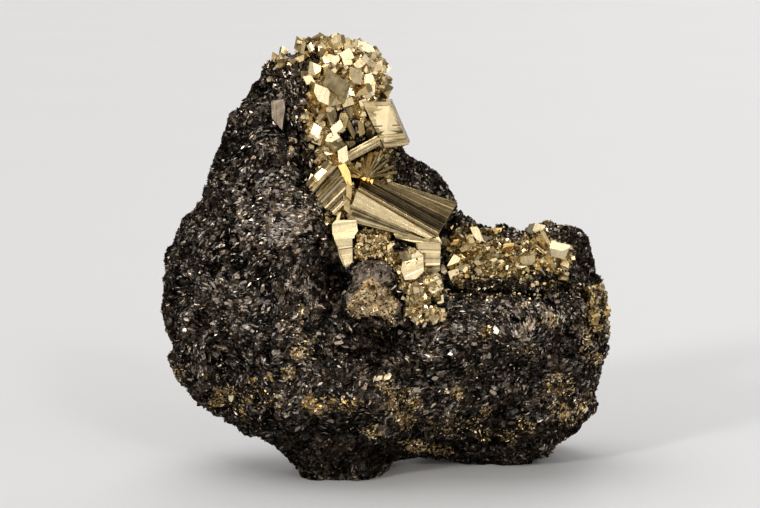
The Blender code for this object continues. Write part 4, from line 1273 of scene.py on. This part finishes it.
# Weights: how likely a face of a mesh is to carry a crystal or grain.
def front_of(box, inside=1.0, outside=0.0):
    """A weight that keeps to a box of the photograph, on the side that it shows."""
    def weight(points, normals):
        within_box = in_box(*pixels(points), box) & (normals[:, 1] < FRONT)
        return np.where(within_box, inside, outside)
    return weight


def without(weight, *boxes):
    """A weight that is nothing in some boxes of the photograph."""
    def less(points, normals):
        left = weight(points, normals)
        for box in boxes:
            left = np.where(in_box(*pixels(points), box), 0.0, left)
        return left
    return less


def both(first, second):
    return lambda points, normals: first(points, normals) * second(points, normals)


def not_dark(dark, share=1.0):
    """A weight that keeps away from where a crust is dark."""
    return lambda points, normals: 1.0 - share * dark(points)


def where_dark(dark, elsewhere):
    """A weight that keeps to where a crust is dark, with a little of it elsewhere."""
    return lambda points, normals: dark(points) + elsewhere


# The crest. Boxes are in pixels, as are the middles, half widths and half heights of its pits.
SPRAY_BOX = (346, 415, 146, 192)
LOW_BOX = (300, 350, 205, 245)
BARE_BOXES = [(400, 420, 112, 150), (386, 412, 150, 180)]
CREST_RIGHT = (332, 398, 30, 112)
CREST_BAND = (300, 392, 108, 206)
CREST_RIM = (290, 312, 106, 160)
CREAM_SPOT = (358.0, 70.0, 26.0, 34.0)
CREST_BROWN = 330.0         # the crest turns brown to the left of this column
# The last value of a pit is its depth in millimetres. The pits are also painted near black as shade.
CREST_PITS = [
    (290, 52, 9, 9, 2.4), (348, 114, 9, 11, 2.4), (347, 137, 9, 14, 2.4), (314, 143, 6, 6, 1.8),
    (300, 66, 9, 6, 1.4), (366, 150, 12, 6, 1.5), (328, 178, 5, 6, 1.2), (366, 112, 4, 8, 1.0),
    (300, 100, 5, 9, 1.0), (357, 140, 6, 8, 1.6), (312, 62, 8, 5, 1.2),
]
# The left edge of the crystals, in rows of pixels: y, x.
CREST_LEFT = [
    (56, 258), (62, 274), (68, 298), (76, 305), (85, 311), (97, 310), (108, 312), (119, 300), (128, 308),
    (140, 313), (152, 320), (165, 321), (180, 318),
]
CREST_CRYSTALS = [
    (358, 41, 19, 10, -8, "K", "cut", 0.05, 0.0), (337, 42, 15, 11, 20, "M", "round", 0.40, 0.1),
    (324, 48, 10, 11, 10, "M", "cut", 0.50, 0.2), (310, 47, 9, 8, 30, "K", "cube", 0.20, 0.1),
    (293, 45, 9, 8, 15, "K", "cut", 0.15, 0.0), (300, 45, 13, 12, -15, "M", "cut", 0.40, 0.2),
    (279, 53, 8, 10, -20, "K", "cube", 0.10, 0.0), (282, 64, 11, 8, 0, "M", "round", 0.60, 0.6),
    (300, 59, 10, 9, 40, "D", "cut", 0.40, 0.5), (373, 53, 12, 10, 0, "M", "round", 0.50, 0.1),
    (346, 56, 13, 11, 25, "K", "cube", 0.20, 0.0), (330, 60, 11, 10, -10, "L", "cut", 0.30, 0.1),
    (358, 64, 12, 10, 35, "K", "cube", 0.25, 0.1), (376, 66, 10, 10, 10, "K", "cube", 0.30, 0.1),
    (314, 71, 14, 11, -15, "K", "cut", 0.20, 0.0), (309, 80, 10, 7, 10, "K", "box", 0.15, 0.0),
    (334, 86, 24, 16, -28, "M", "cube", 0.40, 0.3), (321, 91, 22, 6, -32, "D", "box", 0.85, 0.3),
    (356, 78, 15, 14, -12, "M", "cube", 0.30, 0.1), (371, 80, 10, 12, 12, "K", "cube", 0.35, 0.1),
    (350, 92, 6, 10, 5, "K", "box", 0.10, 0.0), (361, 90, 14, 8, 18, "F", "cube", 0.60, 0.1),
    (373, 97, 9, 13, 14, "K", "point", 0.10, 0.0), (383, 89, 13, 11, -35, "D", "cube", 0.50, 0.4),
    (379, 73, 8, 10, 20, "M", "cut", 0.40, 0.3), (385, 99, 8, 8, 0, "M", "cut", 0.40, 0.3),
    (320, 97, 15, 13, -25, "K", "cube", 0.02, 0.0), (324, 106, 12, 9, -35, "K", "box", 0.05, 0.0),
    (334, 99, 13, 11, 15, "M", "cut", 0.35, 0.3), (346, 103, 15, 14, 10, "M", "round", 0.30, 0.0),
    (322, 111, 13, 6, 35, "D", "box", 0.60, 0.4), (331, 117, 12, 12, 10, "M", "cut", 0.30, 0.4),
    (314, 132, 9, 13, -30, "K", "cube", 0.10, 0.0), (323, 127, 8, 8, 20, "M", "cut", 0.50, 0.2),
    (330, 138, 15, 8, 35, "K", "cube", 0.10, 0.0), (337, 128, 11, 6, 40, "K", "box", 0.15, 0.0),
    (334, 147, 15, 11, 25, "D", "cube", 0.40, 0.4), (361, 128, 6, 19, 10, "M", "box", 0.70, 0.2),
    (373, 131, 15, 10, 35, "M", "cut", 0.30, 0.3), (368, 123, 8, 4, 30, "K", "box", 0.15, 0.0),
    (342, 158, 11, 19, 5, "K", "cube", 0.15, 0.0), (330, 155, 11, 7, 5, "K", "cut", 0.10, 0.0),
    (322, 160, 8, 7, 0, "D", "cut", 0.40, 0.5), (334, 166, 10, 8, 15, "K", "cut", 0.05, 0.0),
    (323, 171, 13, 9, 20, "K", "cut", 0.15, 0.0), (343, 176, 9, 25, 25, "M", "cut", 0.90, 0.0),
    (311, 183, 7, 17, -25, "K", "box", 0.20, 0.0), (384, 181, 10, 6, 30, "M", "cut", 0.70, 0.1),
    (376, 154, 9, 5, -20, "F", "cut", 0.90, 0.0), (375, 178, 8, 5, -15, "K", "cut", 0.80, 0.0),
    (366, 180, 7, 5, 20, "M", "cut", 0.85, 0.0), (343, 121, 7, 20, -12, "M", "cut", 0.60, 0.9),
    (352, 111, 8, 13, 15, "M", "cut", 0.60, 1.0), (352, 131, 6, 16, 30, "M", "box", 0.70, 0.9),
    (348, 145, 10, 10, 0, "M", "cut", 0.60, 1.0), (345, 200, 12, 18, 5, "D", "cut", 0.45, 0.5),
    (339, 214, 4, 13, -20, "K", "box", 0.20, 0.0), (351, 206, 8, 12, 0, "D", "cube", 0.50, 0.5),
    (344, 208, 8, 4, 30, "K", "box", 0.20, 0.0),
]


def crest_stain(points, tints, tarnishes):
    """The upper right of the crest is creamier, its left edge darker."""
    px, py = pixels(points)
    cream = np.exp(-away_from(px, py, *CREAM_SPOT))
    brown = ramp(CREST_BROWN - px, 22.0)
    return (np.clip(tints - 0.3 * cream, 0.0, 1.0),
            np.clip(tarnishes - 0.45 * cream + 0.35 * brown, 0.0, 1.0))


def crest_ragged(points):
    return fractal(points / (1.6 * MM), 2, 91)


def beside_crest(points):
    """Where the dark mass shows beside the crystals of the crest."""
    px, py = pixels(points)
    inside = np.interp(py, *zip(*CREST_LEFT)) - px
    return np.clip((inside + crest_ragged(points) * 4.0) / 5.0, 0.0, 0.97)


def crest_mass_and_pit_shade(points):
    """The pits of the crest are painted near black as shade; beside its crystals the dark mass shows."""
    px, py = pixels(points)
    ragged = crest_ragged(points) * 0.5
    dark = beside_crest(points)
    for *spot, depth in CREST_PITS:
        pit = (1.7 - away_from(px, py, *spot) + ragged) * min(depth, 2.0) * 0.6
        dark = np.maximum(dark, np.clip(pit, 0.0, 0.95))
    return dark


def make_crest():
    crest = Crust("crest_druse", 31, pits=CREST_PITS)
    crest.skin(0.40, 0.62, crest_stain, crest_mass_and_pit_shade)
    bright = not_dark(crest_mass_and_pit_shade)
    right = without(front_of(CREST_RIGHT, 1.0, 0.14), LOW_BOX)
    band = without(front_of(CREST_BAND), SPRAY_BOX)
    crest.scatter(600, (0.5, 1.6), (0.2, 0.75), (0.1, 1.0), without(bright, SPRAY_BOX, LOW_BOX),
                  small=1.2, lit=0.10, bare=BARE_BOXES)
    crest.scatter(380, (0.8, 2.1), (0.0, 0.45), (0.0, 0.4), both(bright, right),
                  small=1.2, lit=0.60, bare=BARE_BOXES)
    crest.scatter(190, (0.6, 1.9), (0.0, 0.6), (0.0, 0.7), both(band, bright), lit=0.35, bare=BARE_BOXES)
    crest.scatter(25, (0.4, 1.1), (0.2, 0.7), (0.0, 0.5), front_of(CREST_RIM), mesh=mass.data)
    crest.crystals(CREST_CRYSTALS)
    crest.piece("crest_crystals", brass, "pyrite", "crest_druse")
    flakes("crest_grains", "pyrrhotite", crest.mesh, 3000, 12, (0.4, 1.5), (1.5, 4.0), 0.25,
           where_dark(beside_crest, 0.01), gold=0.04)


# The shoulder. Its back rim and gaps are painted dark as shade: middle, half width and half height.
SHOULDER_SHADE = [
    (515, 231, 20, 9), (570, 230, 24, 14), (440, 232, 8, 10), (458, 217, 26, 11), (492, 223, 24, 5),
    (552, 214, 12, 9), (545, 279, 18, 6), (505, 283, 20, 6),
]
SHOULDER_EDGE = 279.0       # the row of its ragged lower edge
SHOULDER_FOOT = (445, 580, 284, 300)
SHOULDER_CRYSTALS = [
    (535, 231, 13, 12, -15, "K", "cube", 0.10, 0.0), (544, 243, 9, 15, 25, "M", "cut", 0.50, 0.1),
    (557, 251, 17, 14, -8, "K", "cube", 0.12, 0.0), (551, 246, 9, 9, 10, "K", "cube", 0.10, 0.0),
    (564, 262, 9, 8, -20, "K", "cut", 0.10, 0.0), (571, 250, 6, 7, 0, "M", "cut", 0.30, 0.3),
    (474, 236, 11, 14, 10, "K", "cube", 0.10, 0.0), (483, 241, 8, 10, -20, "K", "cut", 0.12, 0.0),
    (486, 251, 7, 7, 0, "K", "cut", 0.15, 0.0), (467, 249, 14, 9, 15, "D", "round", 0.50, 0.5),
    (455, 242, 7, 7, 0, "M", "round", 0.90, 0.3), (444, 244, 13, 8, 0, "D", "box", 0.45, 0.6),
    (495, 231, 12, 6, 0, "M", "cut", 0.80, 0.3), (508, 247, 12, 7, 0, "F", "round", 0.75, 0.1),
    (526, 260, 17, 10, 15, "M", "cube", 0.35, 0.3), (523, 266, 12, 6, 0, "K", "cut", 0.20, 0.0),
    (452, 263, 9, 11, -35, "K", "cut", 0.20, 0.0), (462, 269, 11, 6, -30, "K", "cut", 0.20, 0.0),
    (492, 262, 10, 6, 20, "K", "cut", 0.25, 0.1), (566, 275, 6, 6, 0, "M", "cut", 0.20, 0.1),
]
SHOULDER_BARS = [
    (526, 241, 547, 257, 0.7, 0.3, 0.3), (531, 242, 551, 259, 0.5, 0.2, 0.0),
    (546, 257, 554, 268, 0.8, 0.3, 0.2), (541, 255, 549, 266, 0.5, 0.3, 0.5),
]


def shoulder_edge_and_shade(points):
    """Darker below the ragged lower edge of the shoulder, and painted shade on its back rim and in its
    gaps.
    """
    px, py = pixels(points)
    ragged = py + fractal(points / (2.0 * MM), 2, 71) * 7.0
    dark = ramp(ragged - SHOULDER_EDGE, 6.0)
    for spot in SHOULDER_SHADE:
        dark = np.maximum(dark, np.clip(1.6 - away_from(px, py, *spot), 0.0, 1.0))
    return dark


def make_shoulder():
    shoulder = Crust("shoulder_druse", 32, smoothing=26)
    bright = not_dark(shoulder_edge_and_shade, 0.93)
    shoulder.skin(0.50, 0.90, dark=shoulder_edge_and_shade)
    shoulder.scatter(800, (0.3, 1.0), (0.25, 0.9), (0.1, 1.0), bright, kinds=("box", "cut"), small=1.2)
    shoulder.scatter(150, (0.6, 1.5), (0.0, 0.6), (0.0, 0.7), bright, lit=0.35)
    shoulder.scatter(90, (0.3, 0.8), (0.3, 0.8), (0.0, 0.7), front_of(SHOULDER_FOOT), mesh=mass.data)
    shoulder.crystals(SHOULDER_CRYSTALS)
    shoulder.bars(SHOULDER_BARS)
    shoulder.piece("shoulder_crystals", brass, "pyrite", "shoulder_druse")
    flakes("shoulder_grains", "pyrrhotite", shoulder.mesh, 2600, 9, (0.4, 1.2), (1.2, 2.8), 0.30,
           where_dark(shoulder_edge_and_shade, 0.02), gold=0.06)


# The tail.
TAIL_BRIGHT = (398, 460, 200, 345)
TAIL_TAN = (350, 400, 235, 275)
TAIL_DULL = (350, 400, 212, 236)
# Where the crust under the prism is painted dull olive as shade: middle, half width and half height.
PRISM_SHADE_SPOT = (372.0, 228.0, 18.0, 10.0)
TAIL_BROWN = 404.0          # the tail turns brown to the left of this column
TAIL_PLATE_AT = (413, 266)
TAIL_PLATE = [(403, 259), (418, 251), (423, 255), (424, 271), (416, 279), (405, 280), (401, 270)]
TAIL_CRYSTALS = [
    (443, 269, 9, 8, -30, "K", "cut", 0.15, 0.0), (453, 276, 10, 8, 10, "K", "cube", 0.15, 0.0),
    (438, 279, 9, 8, 35, "K", "cut", 0.12, 0.0), (427, 281, 10, 8, -15, "K", "cut", 0.12, 0.0),
    (412, 276, 10, 8, 25, "K", "cube", 0.18, 0.0), (438, 299, 8, 9, 10, "K", "cut", 0.15, 0.0),
    (413, 302, 8, 8, -20, "M", "cut", 0.25, 0.2), (405, 257, 15, 9, 10, "D", "cube", 0.30, 0.6),
    (432, 289, 11, 9, 20, "K", "cut", 0.12, 0.0), (424, 300, 12, 9, -25, "K", "cut", 0.15, 0.0),
    (417, 288, 9, 8, 15, "M", "cut", 0.20, 0.1), (433, 318, 9, 8, 30, "K", "cut", 0.20, 0.1),
    (390, 247, 8, 6, 10, "K", "cut", 0.30, 0.1),
]


def tail_tint_and_shade(points, tints, tarnishes):
    """Brownish under the block, and dull olive under the prism, painted shade where the prism overhangs."""
    px, py = pixels(points)
    brown = ramp(TAIL_BROWN - px, 12.0)
    prism_shade = np.exp(-away_from(px, py, *PRISM_SHADE_SPOT))
    return (np.clip(tints + 0.15 * brown, 0.0, 1.0),
            np.clip(tarnishes + 0.1 * brown + 0.6 * prism_shade, 0.0, 1.0))


def make_tail():
    tail = Crust("druse_tail", 33)
    fine = ("box", "cut")
    tail.skin(0.25, 0.40, tail_tint_and_shade)
    tail.scatter(420, (0.3, 1.1), (0.0, 0.5), (0.0, 0.35), front_of(TAIL_BRIGHT), small=1.3)
    tail.scatter(360, (0.3, 0.8), (0.2, 0.6), (0.0, 0.5), front_of(TAIL_TAN), kinds=fine, lit=0.3)
    tail.scatter(40, (0.3, 0.8), (0.3, 0.7), (0.4, 1.0), front_of(TAIL_DULL), kinds=fine)
    tail.crystals(TAIL_CRYSTALS)
    through = tail.seen_at(*TAIL_PLATE_AT) / MM - SHIFT + Vector((0.0, -0.8, 0.0))
    face, forward = tail.plate(TAIL_PLATE, through, (0.29, 0.23), 3.0, 0.12, 0.2)
    tail.strips([face[0], face[5]], [face[2], face[3]], forward, 9, (0.0, 0.09), 50, 0.14, 0.2,
                ends=0.10, leans=(0.01, 0.03, 0.06))
    tail.piece("tail_crystals", brass, "pyrite", "druse_tail")


# The flank. Its right edge is painted dark as shade.
FLANK_EDGE = 596.0          # the column from which it is dark


def flank_gaps_and_shade(points):
    """Dark gaps between the scales of the flank's crust, and painted shade that widens them towards its
    right edge.
    """
    px, _ = pixels(points)
    gaps = fractal(points / (1.3 * MM), 2, 81)
    return np.clip(0.25 - gaps * 1.6 + ramp(px - FLANK_EDGE, 8.0), 0.0, 0.95)


def make_flank():
    flank = Crust("flank_druse", 34, coarse=0.4, smoothing=30)
    flank.skin(0.55, 0.80, dark=flank_gaps_and_shade)
    flank.scatter(260, (0.3, 1.3), (0.3, 0.8), (0.1, 0.9), not_dark(flank_gaps_and_shade), kinds=("box", "cut"),
                  small=1.2, lean=0.35)
    flakes("flank_grains", "pyrrhotite", flank.mesh, 1500, 10, (0.35, 1.1), (1.5, 3.5), 0.25,
           where_dark(flank_gaps_and_shade, 0.05), gold=0.15)
    flank.piece("flank_crystals", brass, "pyrite_gold", "flank_druse")


# The relict lumps and the cleavage face, as outlines in the photograph.
LUMP_TAN = [(341, 322), (350, 300), (362, 284), (371, 277), (380, 284), (398, 291), (396, 319), (375, 328)]
CLEAVAGE_FACE = [(271, 101), (284, 99), (285, 108), (282, 130), (279, 126), (272, 118)]
LUMP_CELL = 1.6             # size of the cells of the lumps, in millimetres


def within(polygon, px, py):
    """Whether some pixels lie in a polygon."""
    result = np.zeros(len(px), bool)
    for (x1, y1), (x2, y2) in zip(polygon, polygon[1:] + polygon[:1]):
        crossing = (y1 > py) != (y2 > py)
        where = (x2 - x1) * (py - y1) / (y2 - y1 + 1e-9) + x1
        result ^= crossing & (px < where)
    return result


def make_lumps():
    """The smooth grey lump and the rough tan one."""
    mesh = remeshed("relict_lump", LUMP_VOXEL, 4)
    points = positions(mesh)
    at = points / MM
    tan = within(LUMP_TAN, *pixels(points)).astype(float)
    offset, number, _ = grains(at / LUMP_CELL, 3)
    lift = (fractal(at / 3.0, 3, 51) * (0.35 + 0.25 * tan)
            + np.einsum("ij,ij->i", offset, number - 0.5) * (0.9 + 0.5 * tan)
            + fractal(at / 0.8, 2, 57) * (0.10 + 0.05 * tan))
    move_to(mesh, points + vertex_normals(mesh) * lift[:, None] * MM)
    set_values(mesh, "tan", "POINT", tan)
    mesh.materials.append(relict_metal())
    done(new_object("lumps", mesh), "relict", "relict_lump")
    flakes("lump_grains", "relict", mesh, 1800, 14, (0.25, 0.85), (1.3, 3.0), 0.24, gold=0.08)


def make_cleavage_face():
    """The smooth cleavage face high on the left of the mass."""
    growth = Growth()
    middle = [sum(values) / len(CLEAVAGE_FACE) for values in zip(*CLEAVAGE_FACE)]
    through = mass_tree.ray_cast(EYE, ray(*middle))[0] / MM - SHIFT + Vector((0.0, -0.6, 0.0))
    growth.plate(CLEAVAGE_FACE, through, (-0.20, 0.10), 1.6, 0.0, 0.0)
    growth.piece("cleavage_faces", cleavage_metal(), "pyrrhotite")


make_blade()
make_slab()
make_bar()
make_block()
make_stepped()
make_fan()
make_spray()
make_crest()
make_shoulder()
make_tail()
make_flank()
make_lumps()
make_cleavage_face()


# The studio: a pale floor, soft distant lights and a dim even sky.
def make_floor(half):
    corners = [(-half, -half, 0.0), (half, -half, 0.0), (half, half, 0.0), (-half, half, 0.0)]
    mesh = bpy.data.meshes.new("floor")
    mesh.from_pydata(corners, [], [(0, 1, 2, 3)])
    mesh.materials.append(pale_floor())
    return new_object("floor", mesh)


WARM = (1.0, 0.97, 0.92)
NEUTRAL = (1.0, 0.98, 0.96)
WHITE = (1.0, 1.0, 1.0)
SKY = (1.0, 0.97, 0.94, 1.0)
SKY_STRENGTH = 0.24
FLOOR_HALF = 12.0           # metres
# Name, direction towards the light, strength, how wide it looks in degrees, and colour.
LIGHTS = [
    ("key", (0.60, -0.72, 0.36), 0.62, 56.0, WARM),
    ("key_core", (0.42, -0.80, 0.50), 0.32, 9.0, WARM),
    ("fill", (-0.75, -0.62, 0.30), 0.58, 60.0, NEUTRAL),
    ("fill_core", (-0.60, -0.70, 0.42), 0.85, 9.0, NEUTRAL),
    ("top", (-0.25, 0.25, 0.93), 1.3, 60.0, WHITE),
    ("back", (0.35, 0.85, 0.45), 0.4, 40.0, WHITE),
]


def sun(name, towards, strength, width, color):
    light = bpy.data.lights.new(name, "SUN")
    light.energy = strength
    light.angle = math.radians(width)
    light.color = color
    obj = new_object(name, light)
    obj.rotation_euler = Vector(towards).normalized().to_track_quat("Z", "Y").to_euler()


floor = make_floor(FLOOR_HALF)
for light_row in LIGHTS:
    sun(*light_row)
world = bpy.data.worlds.new("studio")
bpy.context.scene.world = world
world.use_nodes = True
background = world.node_tree.nodes["Background"]
background.inputs["Color"].default_value = SKY
background.inputs["Strength"].default_value = SKY_STRENGTH
bpy.context.scene.view_settings.view_transform = "Standard"
